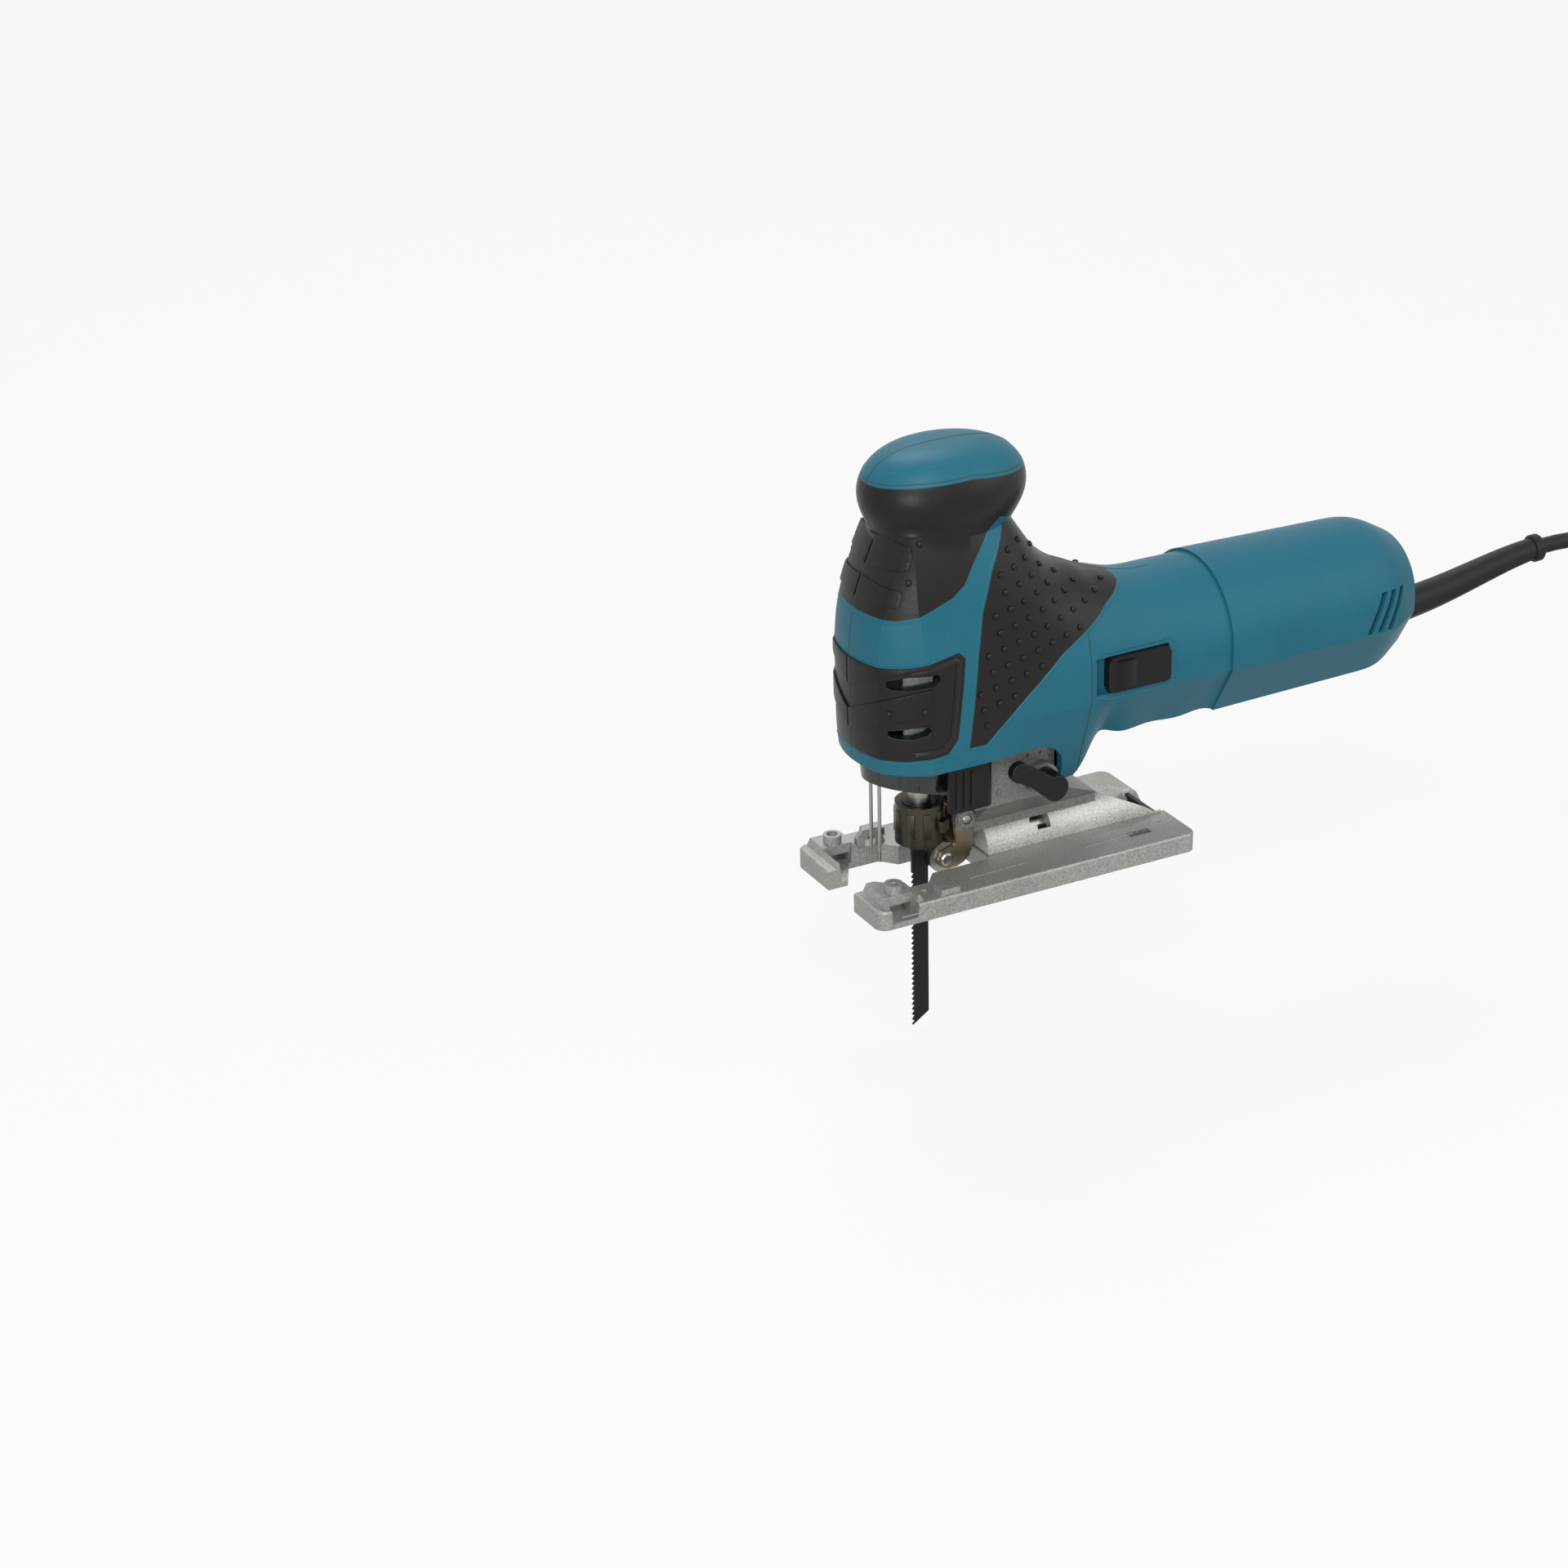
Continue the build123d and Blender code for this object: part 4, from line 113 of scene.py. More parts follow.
def grained_finish(name, dark, light, roughness, metallic, grain_mm, depth_mm, shine=0.5, speckle=0.06):
    """A material with slow drifts of tone, and a fine grain in its tone, its gloss and its shallow bumps."""
    material = bpy.data.materials.new(name)
    material.use_nodes = True
    tree = material.node_tree
    shader = tree.nodes["Principled BSDF"]
    shader.inputs["Metallic"].default_value = metallic
    shader.inputs["Specular IOR Level"].default_value = shine
    patch_size = 30.0 * MM
    patches = noise_of(material, patch_size, detail=4.0)
    grain = noise_of(material, grain_mm * MM, detail=3.0)
    tone = toned(material, patches, dark, light)
    gloss = spread(material, grain, *roughness)
    flecks = spread(material, grain, 1.0 - speckle, 1.0 + speckle)
    factors = [(tone, "Result", 0), (flecks, "Result", 1)]
    flecked = add_node(material, "ShaderNodeVectorMath", factors, operation="MULTIPLY")
    heights = {"Strength": 1.0, "Distance": depth_mm * MM}
    bump = add_node(material, "ShaderNodeBump", [(grain, "Fac", "Height")], heights)
    tree.links.new(flecked.outputs["Vector"], shader.inputs["Base Color"])
    tree.links.new(gloss.outputs["Result"], shader.inputs["Roughness"])
    tree.links.new(bump.outputs["Normal"], shader.inputs["Normal"])
    return material


cord_radius = 3.65 * MM
cord_rubber = grained_finish(
    "rubber_cord_jacket", "0e0f10", "17181a", (0.42, 0.54), 0.0, 0.8, 0.03, shine=0.22
)
floor_height = -74.0 * MM
tie_thickness = 1.0 * MM
tie_slip = 0.3 * MM
coil_low = floor_height + tie_thickness + tie_slip + cord_radius
coil_layers = 4
coil_rise = 8.2 * MM
coil_high = coil_low + coil_rise * (coil_layers - 1)
coil_inner = 29.5 * MM
coil_pitch = 9.2 * MM
coil_turns = 2
coil_outer = coil_inner + coil_pitch * coil_turns
coil_middle = Vector((391.0 * MM, 23.0 * MM - coil_outer, 0.0))
plug_height = floor_height + 12.0 * MM
route = [
    Vector(point) * MM
    for point in (
        (290.0, 0.0, 88.0),
        (311.2, 0.0, 88.7),
        (324.4, 0.0, 83.1),
        (334.5, 1.0, 73.0),
        (340.0, 4.0, 59.8),
        (340.0, 20.0, -15.6),
        (345.5, 22.2, -28.8),
        (355.6, 22.9, -39.0),
    )
]
route.append(Vector((368.8 * MM, 23.0 * MM, coil_high)))
route.append(Vector((383.7 * MM, 23.0 * MM, coil_high)))
steps_per_turn = 24
layer_steps = coil_turns * steps_per_turn
climb_steps = steps_per_turn // 2
layer_span = layer_steps + climb_steps
for step in range(coil_layers * layer_span - climb_steps + 1):
    layer, within = divmod(step, layer_span)
    travel = coil_pitch * min(within, layer_steps) / steps_per_turn
    radius = coil_inner + travel if layer % 2 else coil_outer - travel
    climb = max(0, within - layer_steps) / climb_steps
    height = coil_high - coil_rise * (layer + (1 - math.cos(math.pi * climb)) / 2)
    angle = math.pi / 2 - 2 * math.pi * step / steps_per_turn
    route.append(coil_middle + Vector((radius * math.cos(angle), radius * math.sin(angle), height)))
tail_y = route[-1].y
for tail_x, tail_z in ((375.0 * MM, coil_low), (359.0 * MM, plug_height), (343.0 * MM, plug_height)):
    route.append(Vector((tail_x, tail_y, tail_z)))
cord_curve = bpy.data.curves.new("mains_cord", "CURVE")
cord_curve.dimensions = "3D"
cord_curve.bevel_depth = cord_radius
cord_curve.bevel_resolution = 4
cord_curve.use_fill_caps = True
cord_curve.resolution_u = 4
spline = cord_curve.splines.new("NURBS")
spline.points.add(len(route) - 1)
for control, point in zip(spline.points, route):
    control.co = (*point, 1.0)
spline.order_u = 3
spline.use_endpoint_u = True
cord_curve.materials.append(cord_rubber)
mains_cord = bpy.data.objects.new("mains_cord", cord_curve)
bpy.context.scene.collection.objects.link(mains_cord)
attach(mains_cord, "housing")
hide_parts("cord_lead", "cord_coil")


# Cord guard, tie and plug: a tapered rubber sleeve with a collar at its tip, a woven hook-and-loop strap
# round the coil, and a moulded two-pin plug with finger ribs, a short sleeve of its own and bare pin tips.
def dress(material, *names):
    """Gives CAD nodes one finish in place of their plain one."""
    for name in names:
        nodes[name].data.materials.clear()
        nodes[name].data.materials.append(material)


def pick(*pieces):
    """Selects pieces and nothing else, the first of them active."""
    bpy.ops.object.select_all(action="DESELECT")
    for piece in pieces:
        piece.select_set(True)
    bpy.context.view_layer.objects.active = pieces[0]


def joined(pieces):
    """Joins pieces into one."""
    pick(*pieces)
    bpy.ops.object.join()
    return bpy.context.active_object


def stood_at(place, way):
    """The placement that brings a piece from the origin to a place, with its Z axis turned to a way."""
    return Matrix.Translation(place) @ way.to_track_quat("Z", "Y").to_matrix().to_4x4()


def bevelled_bar(size, edge, place=(0.0, 0.0, 0.0)):
    """A block of the given size, its edges rounded over, left selected and active."""
    bpy.ops.object.select_all(action="DESELECT")
    bpy.ops.mesh.primitive_cube_add(size=1.0, location=place)
    bar = bpy.context.active_object
    bar.scale = size
    bpy.ops.object.transform_apply(location=True, rotation=True, scale=True)
    bpy.ops.object.mode_set(mode="EDIT")
    bpy.ops.mesh.select_all(action="SELECT")
    bpy.ops.mesh.bevel(offset=edge, segments=2, affect="EDGES")
    bpy.ops.object.mode_set(mode="OBJECT")
    return bar


def copied_to(pattern, placements):
    """Copies a modelled piece to each placement, each with a mesh of its own, and joins the copies."""
    copies = []
    for placement in placements:
        copy = bpy.data.objects.new(pattern.name, pattern.data.copy())
        copy.data.transform(placement)
        bpy.context.scene.collection.objects.link(copy)
        copies.append(copy)
    bpy.data.objects.remove(pattern, do_unlink=True)
    return joined(copies)


def finished(piece, name, body, material):
    """Names a modelled piece, smooths it, gives it its finish, and lets it ride on a body."""
    sharp_edge = math.radians(35.0)
    piece.name = name
    piece.data.name = name
    piece.data.materials.clear()
    piece.data.materials.append(material)
    pick(piece)
    bpy.ops.object.transform_apply(location=True, rotation=True, scale=True)
    bpy.ops.object.shade_smooth_by_angle(angle=sharp_edge)
    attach(piece, body)
    return piece


def turned_collar(profile, sides, place=Vector((0.0, 0.0, 0.0)), way=Vector((0.0, 0.0, 1.0))):
    """A closed ring spun round an axis from a small profile of (along, radius) points in millimetres."""
    bpy.ops.object.select_all(action="DESELECT")
    bpy.ops.mesh.primitive_circle_add(vertices=len(profile), radius=1.0, fill_type="NOTHING")
    ring = bpy.context.active_object
    for vertex, (along, out) in zip(ring.data.vertices, profile):
        vertex.co = (out * MM, 0.0, along * MM)
    bpy.ops.object.mode_set(mode="EDIT")
    bpy.ops.mesh.select_all(action="SELECT")
    bpy.ops.mesh.spin(steps=sides, angle=2 * math.pi, center=(0.0, 0.0, 0.0), axis=(0.0, 0.0, 1.0))
    bpy.ops.mesh.select_all(action="SELECT")
    bpy.ops.mesh.remove_doubles(threshold=0.001 * MM)
    bpy.ops.mesh.normals_make_consistent(inside=False)
    bpy.ops.object.mode_set(mode="OBJECT")
    ring.data.transform(stood_at(place, way))
    return ring


guard_way = Vector((28.0, 0.0, 1.5)).normalized()
tip_profile = ((-5.0, 4.6), (-5.0, 5.6), (-4.2, 6.4), (-1.2, 6.4), (0.0, 5.4), (0.0, 3.4))
guard_tip = turned_collar(tip_profile, sides=28, place=route[0], way=guard_way)
finished(guard_tip, "guard_tip_collar", "housing", cord_rubber)
plug_ribs = copied_to(
    bevelled_bar((1.6 * MM, 1.6 * MM, 13.0 * MM), edge=0.6 * MM),
    [
        Matrix.Translation(Vector((x * MM, tail_y + side * 10.3 * MM, plug_height)))
        for x in (326.0, 329.5, 333.0, 336.5)
        for side in (-1, 1)
    ],
)
finished(plug_ribs, "plug_finger_ribs", "housing", cord_rubber)
sleeve_profile = (
    (0.0, 3.4), (0.0, 7.0), (2.0, 6.8), (4.0, 5.8), (6.0, 6.2), (9.0, 5.2), (12.0, 4.6), (12.0, 3.4)
)
sleeve_place = Vector((342.6 * MM, tail_y, plug_height))
plug_sleeve = turned_collar(sleeve_profile, sides=24, place=sleeve_place, way=Vector((1.0, 0.0, 0.0)))
finished(plug_sleeve, "plug_sleeve", "housing", cord_rubber)
pin_profile = ((0.0, 0.4), (0.0, 2.46), (7.4, 2.46), (8.6, 1.9), (9.1, 1.0), (9.2, 0.4))
pin_nickel = grained_finish("nickel_plated_brass", "b3ad9c", "c4beae", (0.22, 0.32), 1.0, 0.6, 0.008)
pin_tips = copied_to(
    turned_collar(pin_profile, sides=20, way=Vector((-1.0, 0.0, 0.0))),
    [Matrix.Translation(Vector((295.0 * MM, tail_y + y * MM, plug_height))) for y in (-8.0, 8.0)],
)
finished(pin_tips, "plug_pin_tips", "housing", pin_nickel)
strap_weave = grained_finish("woven_hook_strap", "101112", "1d1e20", (0.75, 0.9), 0.0, 0.5, 0.12)
dress(cord_rubber, "cord_guard", "mains_plug")
dress(strap_weave, "coil_tie")


# Base: die-cast aluminium, blasted grey, with a machined hump. The hump's colour is raised half again over
# the flange's: partly its paler machined finish, partly painted light for the brightness it catches where
# lit. The flange carries shallow cast lines beside the hump and a parting line along its edges. A tilt mark
# is inlaid on the hump, and the fence bosses are tapped.
def skin_of(*names):
    """A search tree over the faces of the named solids."""
    corners = []
    faces = []
    for name in names:
        mesh = nodes[name].data
        first = len(corners)
        corners.extend(vertex.co.copy() for vertex in mesh.vertices)
        faces.extend([first + i for i in polygon.vertices] for polygon in mesh.polygons)
    return BVHTree.FromPolygons(corners, faces)


def touch(skin, start, way):
    """Where a straight line meets a skin, and the way that the skin faces there."""
    place, facing, _, _ = skin.ray_cast(start, way)
    if place is None:
        return None
    return place, -facing if facing.dot(way) > 0 else facing


def bead(runs, radius):
    """A thin round bead along runs of three points or more, as a mesh."""
    curve = bpy.data.curves.new("bead", "CURVE")
    curve.dimensions = "3D"
    curve.bevel_depth = radius
    curve.bevel_resolution = 2
    curve.use_fill_caps = True
    for run in runs:
        if len(run) > 2:
            line = curve.splines.new("POLY")
            line.points.add(len(run) - 1)
            for control, point in zip(line.points, run):
                control.co = (*point, 1.0)
    piece = bpy.data.objects.new("bead", curve)
    bpy.context.scene.collection.objects.link(piece)
    pick(piece)
    bpy.ops.object.convert(target="MESH")
    return bpy.context.active_object


base_aluminium = grained_finish(
    "blasted_cast_aluminium", "83837f", "a09f9b", (0.38, 0.6), 0.6, 0.8, 0.14, speckle=0.28
)
base_tree = base_aluminium.node_tree
base_shader = base_tree.nodes["Principled BSDF"]
flange_top = 9.3 * MM
gap_rear = -14.0 * MM
# Painted light: above the flange top and behind the gap, the base colour is multiplied by this gain, partly
# for the machined finish and partly to paint in the light that the hump catches.
hump_machined_and_painted_light = 1.5
base_place = add_node(base_aluminium, "ShaderNodeTexCoord")
base_axes = add_node(base_aluminium, "ShaderNodeSeparateXYZ", [(base_place, "Object", "Vector")])
above_flange = add_node(
    base_aluminium, "ShaderNodeMath", [(base_axes, "Z", 0)], {1: flange_top}, operation="GREATER_THAN"
)
behind_gap = add_node(
    base_aluminium, "ShaderNodeMath", [(base_axes, "X", 0)], {1: gap_rear}, operation="GREATER_THAN"
)
both_hold = [(above_flange, "Value", 0), (behind_gap, "Value", 1)]
hump_painted_light_mask = add_node(base_aluminium, "ShaderNodeMath", both_hold, operation="MULTIPLY")
hump_painted_light_limits = {"To Min": 1.0, "To Max": hump_machined_and_painted_light}
# The gain runs from 1 off the hump to the full lift on it: a lighter hump, partly machining and partly
# painted light.
hump_painted_light_node = add_node(base_aluminium, "ShaderNodeMapRange", [(hump_painted_light_mask, "Value", "Value")], hump_painted_light_limits)
cast_tone = base_shader.inputs["Base Color"].links[0].from_node
hump_factors = [(cast_tone, "Vector", 0), (hump_painted_light_node, "Result", 1)]
hump_tone_with_painted_light = add_node(base_aluminium, "ShaderNodeVectorMath", hump_factors, operation="MULTIPLY")
base_tree.links.new(hump_tone_with_painted_light.outputs["Vector"], base_shader.inputs["Base Color"])
dress(base_aluminium, "base")
cast_line_height = 8.8 * MM
base_lines = []
for line_start, line_end in (((28.5, -26.4), (53.9, -25.0)), ((-30.0, -27.3), (-1.5, -26.6))):
    start = Vector((*line_start, 0.0)) * MM
    run = Vector((*line_end, 0.0)) * MM - start
    middle = start + run / 2
    stretch = Matrix.Diagonal((run.length, 1.0, 1.0, 1.0))
    for side in (1.0, -1.0):
        place = Matrix.Translation(Vector((middle.x, middle.y * side, cast_line_height)))
        heading = math.atan2(run.y * side, run.x)
        base_lines.append(place @ Matrix.Rotation(heading, 4, "Z") @ stretch)
cast_lines = copied_to(bevelled_bar((1.0, 0.8 * MM, 0.5 * MM), edge=0.15 * MM), base_lines)
finished(cast_lines, "base_cast_lines", "base", base_aluminium)
edge_lines = copied_to(
    bevelled_bar((142.0 * MM, 0.4 * MM, 0.5 * MM), edge=0.12 * MM),
    [Matrix.Translation(Vector((2.0, side * 37.95, 4.6)) * MM) for side in (-1, 1)],
)
finished(edge_lines, "base_parting_lines", "base", base_aluminium)
base_skin = skin_of("base")
hump_axis = Vector((0.0, 0.0, 7.0)) * MM
tick_radius = 0.6 * MM
tick_sunk = 0.57 * MM
tick_lines = ([(36.3 + 0.65 * i, 46.9) for i in range(11)], [(39.5, 41.0 + 1.2 * i) for i in range(11)])
tick_runs = []
for tick_line in tick_lines:
    tick_run = []
    for x, turn in tick_line:
        outward = Vector((0.0, -math.sin(math.radians(turn)), math.cos(math.radians(turn))))
        start = hump_axis + Vector((x * MM, 0.0, 0.0)) + outward * OUTSIDE
        place, facing = touch(base_skin, start, -outward)
        tick_run.append(place - facing * tick_sunk)
    tick_runs.append(tick_run)
finished(bead(tick_runs, tick_radius), "tilt_tick", "base", base_aluminium)
thread_profile = ((-0.36, 2.55), (0.0, 2.1), (0.36, 2.55))
boss_threads = copied_to(
    turned_collar(thread_profile, sides=20),
    [
        Matrix.Translation(Vector((-67.0, side * 27.5, 9.2 + 0.8 * i)) * MM)
        for i in range(8)
        for side in (-1, 1)
    ],
)
finished(boss_threads, "fence_boss_threads", "base", base_aluminium)

# Gear housing: die-cast aluminium, tumbled, so its skin is grey and finely pitted. The orbit scale's end
# figures stand a little proud of the wall beside the lever.
cast_aluminium = grained_finish(
    "die_cast_aluminium", "6c6b68", "868580", (0.38, 0.6), 0.6, 0.9, 0.14, speckle=0.28
)
dress(cast_aluminium, "gear_housing")
wall_y = -20.0 * MM
for figure, scale_name, figure_x, figure_z in (
    ("0", "orbit_scale_zero", -10.7, 41.3),
    ("III", "orbit_scale_three", 18.0, 42.6),
):
    bpy.ops.object.select_all(action="DESELECT")
    bpy.ops.object.text_add(location=(figure_x * MM, wall_y, figure_z * MM), rotation=(math.pi / 2, 0.0, 0.0))
    letters = bpy.context.active_object
    letters.data.body = figure
    letters.data.size = 5.4 * MM
    letters.data.extrude = 0.35 * MM
    letters.data.bevel_depth = 0.08 * MM
    letters.data.align_x = "CENTER"
    letters.data.align_y = "CENTER"
    bpy.ops.object.convert(target="MESH")
    finished(bpy.context.active_object, scale_name, "housing", cast_aluminium)

# Vent ribs of the case: cast ribs on the front corners of the gear case. They are what shows bright behind
# the slots of the vent panels.
vent_ribs = copied_to(
    bevelled_bar((13.0 * MM, 4.0 * MM, 1.0), edge=0.9 * MM),
    [
        Matrix.Translation(Vector((-52.0, side * 22.8, z)) * MM)
        @ Matrix.Rotation(side * math.radians(27.0), 4, "Z")
        @ Matrix.Diagonal((1.0, 1.0, height * MM, 1.0))
        for side in (-1, 1)
        for z, height in ((105.6, 13.0), (83.0, 12.0))
    ],
)
finished(vent_ribs, "gear_case_vent_ribs", "housing", cast_aluminium)

# Steel pieces: ground shafts, pins, gears and the guard's wire, zinc-plated screws, and the plated sheet of
# the roller's arm, whose pins are riveted over at both ends. A cast eye stands round each end of its pivot.
ground_steel = grained_finish("ground_steel", "918f8a", "a5a39d", (0.27, 0.38), 1.0, 0.6, 0.01)
dress(
    ground_steel, "plunger", "wire_guard", "opener_hinge_pin", "roller_pin", "arm_pivot_pin", "orbit_shaft",
    "guide_roller", "crank_pin", "gear_axle", "armature_shaft", "front_bearing", "rear_bearing",
    "gear_bearing", "dial_pin", "pinion", "drive_gear", "base_clamp_washer",
)
zinc_steel = grained_finish("zinc_plated_steel", "5e5d5b", "6d6b68", (0.3, 0.42), 1.0, 0.7, 0.01)
dress(zinc_steel, "housing_screws", "rear_cover_screws", "base_clamp_bolt")
champagne_steel = grained_finish("champagne_plated_steel", "847a67", "978b75", (0.3, 0.42), 1.0, 0.8, 0.015)
dress(champagne_steel, "roller_arm")
rivet_profile = ((0.0, 0.2), (0.0, 3.0), (0.5, 2.9), (1.1, 2.2), (1.3, 0.2))
eye_profile = ((0.0, 2.3), (0.0, 4.7), (0.5, 4.6), (0.9, 4.2), (0.9, 2.3))
head_profile = ((0.0, 0.2), (0.0, 2.2), (0.7, 2.1), (1.1, 1.6), (1.2, 0.2))
for profile, sides, (x, y, z), name, body, slot, material in (
    (rivet_profile, 24, (-28.9, 6.0, 8.6), "roller_rivets", "roller_arm", "steel", ground_steel),
    (eye_profile, 28, (-21.0, 9.45, 27.5), "arm_pivot_eyes", "housing", "cast_aluminium", cast_aluminium),
    (head_profile, 28, (-21.0, 9.45, 27.5), "arm_pivot_heads", "housing", "steel", ground_steel),
):
    both_ends = [
        Matrix.Translation(Vector((x, side * y, z)) * MM) @ Matrix.Rotation(-side * math.pi / 2, 4, "X")
        for side in (-1, 1)
    ]
    finished(copied_to(turned_collar(profile, sides), both_ends), name, body, material)

# Blade and clamp: a black-oxide blade in a dark nickel-plated clamp. The turning collar has raised staves,
# and the clamp's lower rim is serrated.
black_oxide = grained_finish("black_oxide_steel", "121212", "1d1c1b", (0.36, 0.5), 0.6, 0.7, 0.01)
dress(black_oxide, "saw_blade")
dark_nickel = grained_finish("dark_nickel_plate", "403c35", "504b43", (0.28, 0.4), 1.0, 0.8, 0.015)
dress(dark_nickel, "blade_clamp_body", "blade_clamp_collar")
collar_axis = Vector((-39.0, 0.0, 0.0)) * MM
stave_turns = [math.radians(20.0 + 40.0 * i) for i in range(9)]
tooth_count = 26
tooth_turns = [2 * math.pi * i / tooth_count for i in range(tooth_count)]
collar_staves = copied_to(
    bevelled_bar((0.9 * MM, 3.6 * MM, 12.0 * MM), edge=0.3 * MM, place=(10.45 * MM, 0.0, 28.4 * MM)),
    [Matrix.Translation(collar_axis) @ Matrix.Rotation(turn, 4, "Z") for turn in stave_turns],
)
finished(collar_staves, "clamp_collar_staves", "clamp_collar", dark_nickel)
clamp_teeth = copied_to(
    bevelled_bar((0.9 * MM, 0.8 * MM, 1.9 * MM), edge=0.2 * MM, place=(6.7 * MM, 0.0, 17.25 * MM)),
    [Matrix.Translation(collar_axis) @ Matrix.Rotation(turn, 4, "Z") for turn in tooth_turns],
)
finished(clamp_teeth, "clamp_serrations", "plunger", dark_nickel)

# Motor and gearing inside the housings: copper windings, stacked sheet, sintered bronze and carbon.
# Little of them shows, through the vents and the rear slots.
copper_wire = grained_finish("enamelled_copper_wire", "8a4a2a", "a5603a", (0.3, 0.45), 0.8, 0.8, 0.1)
dress(copper_wire, "armature_windings", "field_coils")
stacked_sheet = grained_finish("stacked_steel_sheet", "5b5a58", "6b6a67", (0.45, 0.6), 0.8, 0.6, 0.03)
dress(stacked_sheet, "armature_core", "field_core")
sintered_bronze = grained_finish("sintered_bronze", "8f7038", "a2824a", (0.4, 0.55), 0.9, 0.6, 0.03)
dress(sintered_bronze, "plunger_bushes", "commutator")
pressed_carbon = grained_finish("pressed_carbon", "1b1b1b", "262626", (0.6, 0.75), 0.0, 0.5, 0.02)
dress(pressed_carbon, "carbon_brushes")

# Switch, lever, opener and dial: hard black polyamide, a little glossier than the grips. The opener has three
# finger ribs.
black_polyamide = grained_finish(
    "black_moulded_polyamide", "0d0c0b", "151413", (0.3, 0.4), 0.0, 0.8, 0.015, shine=0.2
)
dress(
    black_polyamide, "orbit_lever", "switch_slider", "switch_rod", "switch_unit", "speed_dial",
    "speed_controller", "brush_holders", "cooling_fan", "tool_opener", "trough_end_plate",
)
opener_ribs = copied_to(
    bevelled_bar((1.4 * MM, 1.2 * MM, 17.0 * MM), edge=0.4 * MM),
    [Matrix.Translation(Vector((x, -29.5, 52.0)) * MM) for x in (-37.0, -33.4, -29.8)],
)
finished(opener_ribs, "opener_finger_ribs", "tool_opener", black_polyamide)


# Dust cover: clear polycarbonate, smoky with use, thin enough to see the blade clamp through it. Two upright
# ribs stiffen each flank.
def from_side(skin, x, z, side):
    """Where a skin is met from one side, at a side-view point in millimetres, and the way it faces there."""
    return touch(skin, Vector((x * MM, side * OUTSIDE, z * MM)), Vector((0.0, -side, 0.0)))


clear_plastic = bpy.data.materials.new("clear_polycarbonate")
clear_plastic.use_nodes = True
clear_shader = clear_plastic.node_tree.nodes["Principled BSDF"]
clear_shader.inputs["IOR"].default_value = 1.58
clear_shader.inputs["Transmission Weight"].default_value = 0.85
clear_dust = noise_of(clear_plastic, 9.0 * MM, detail=5.0)
clear_tone = toned(clear_plastic, clear_dust, "141617", "282a2c")
clear_gloss = spread(clear_plastic, clear_dust, 0.05, 0.22, noise_low=0.35)
clear_plastic.node_tree.links.new(clear_tone.outputs["Result"], clear_shader.inputs["Base Color"])
clear_plastic.node_tree.links.new(clear_gloss.outputs["Result"], clear_shader.inputs["Roughness"])
dress(clear_plastic, "dust_cover")
cover_skin = skin_of("dust_cover")
flank_heights = [38.0 + 0.5 * i for i in range(60)]
least_half_width = 10.0 * MM
rib_margin = 2.0 * MM
rib_places = []
for side in (-1, 1):
    for x in (-56.0, -49.0):
        flank = []
        for z in flank_heights:
            found = from_side(cover_skin, x, z, side)
            if found and found[0].y * side > least_half_width:
                flank.append(found[0])
        height = (flank[-1] - flank[0]).z - rib_margin
        middle = (flank[0] + flank[-1]) / 2
        middle.y = min(abs(point.y) for point in flank[2:-2]) * side
        rib_places.append(Matrix.Translation(middle) @ Matrix.Diagonal((1.0, 1.0, height, 1.0)))
cover_ribs = copied_to(bevelled_bar((1.6 * MM, 1.0 * MM, 1.0), edge=0.4 * MM), rib_places)
finished(cover_ribs, "dust_cover_ribs", "dust_cover", clear_plastic)


# Handle shells, motor housing and rear cover: glass-filled polyamide, moulded in teal with a fine
# spark-eroded texture that gives a soft, even sheen. The grain is drawn coarser than life so that it shows.
def broken_where_far(points, reach):
    """Splits a row of points wherever two neighbours are further apart than reach."""
    runs = [[]]
    for point in points:
        if runs[-1] and (point - runs[-1][-1]).length > reach:
            runs.append([])
        runs[-1].append(point)
    return runs


def line_on(skin, line, side, sunk):
    """Points on a flank under a side-view line in millimetres, but for its last corner, set in by sunk."""
    step = 1.2
    least_sideways = 0.2
    points = []
    for (x0, z0), (x1, z1) in zip(line, line[1:]):
        count = max(1, round(math.hypot(x1 - x0, z1 - z0) / step))
        for i in range(count):
            found = from_side(skin, x0 + (x1 - x0) * i / count, z0 + (z1 - z0) * i / count, side)
            if found and abs(found[1].y) > least_sideways:
                points.append(found[0] - found[1] * sunk)
    return points


teal_plastic = grained_finish(
    "teal_moulded_polyamide", "1c5667", "246274", (0.38, 0.48), 0.0, 0.9, 0.02, shine=0.13
)
seam_shadow = grained_finish("moulding_seam", "16292f", "1d343b", (0.6, 0.7), 0.0, 0.8, 0.01)
dress(teal_plastic, "handle_shell_left", "handle_shell_right", "motor_housing", "rear_cover")
body_skin = skin_of(
    "handle_shell_left", "handle_shell_right", "motor_housing", "knob_grip_left", "knob_grip_right",
    "side_grip_left", "side_grip_right", "vent_panel_left", "vent_panel_right",
)
seam_y = -0.15 * MM
seam_sunk = 0.12 * MM
seam_radius = 0.28 * MM
seam_reach = 4.0 * MM
ahead = -160.0 * MM
overhead = 260.0 * MM
seam_points = []
for i in range(120):
    found = touch(body_skin, Vector((ahead, seam_y, (66.0 + i) * MM)), Vector((1.0, 0.0, 0.0)))
    if found:
        seam_points.append(found[0] + Vector((seam_sunk, 0.0, 0.0)))
for i in range(140):
    found = touch(body_skin, Vector(((-64.0 + i) * MM, seam_y, overhead)), Vector((0.0, 0.0, -1.0)))
    if found:
        seam_points.append(found[0] - Vector((0.0, 0.0, seam_sunk)))
half_seam = bead(broken_where_far(seam_points, seam_reach), seam_radius)
finished(half_seam, "shell_seam", "housing", seam_shadow)
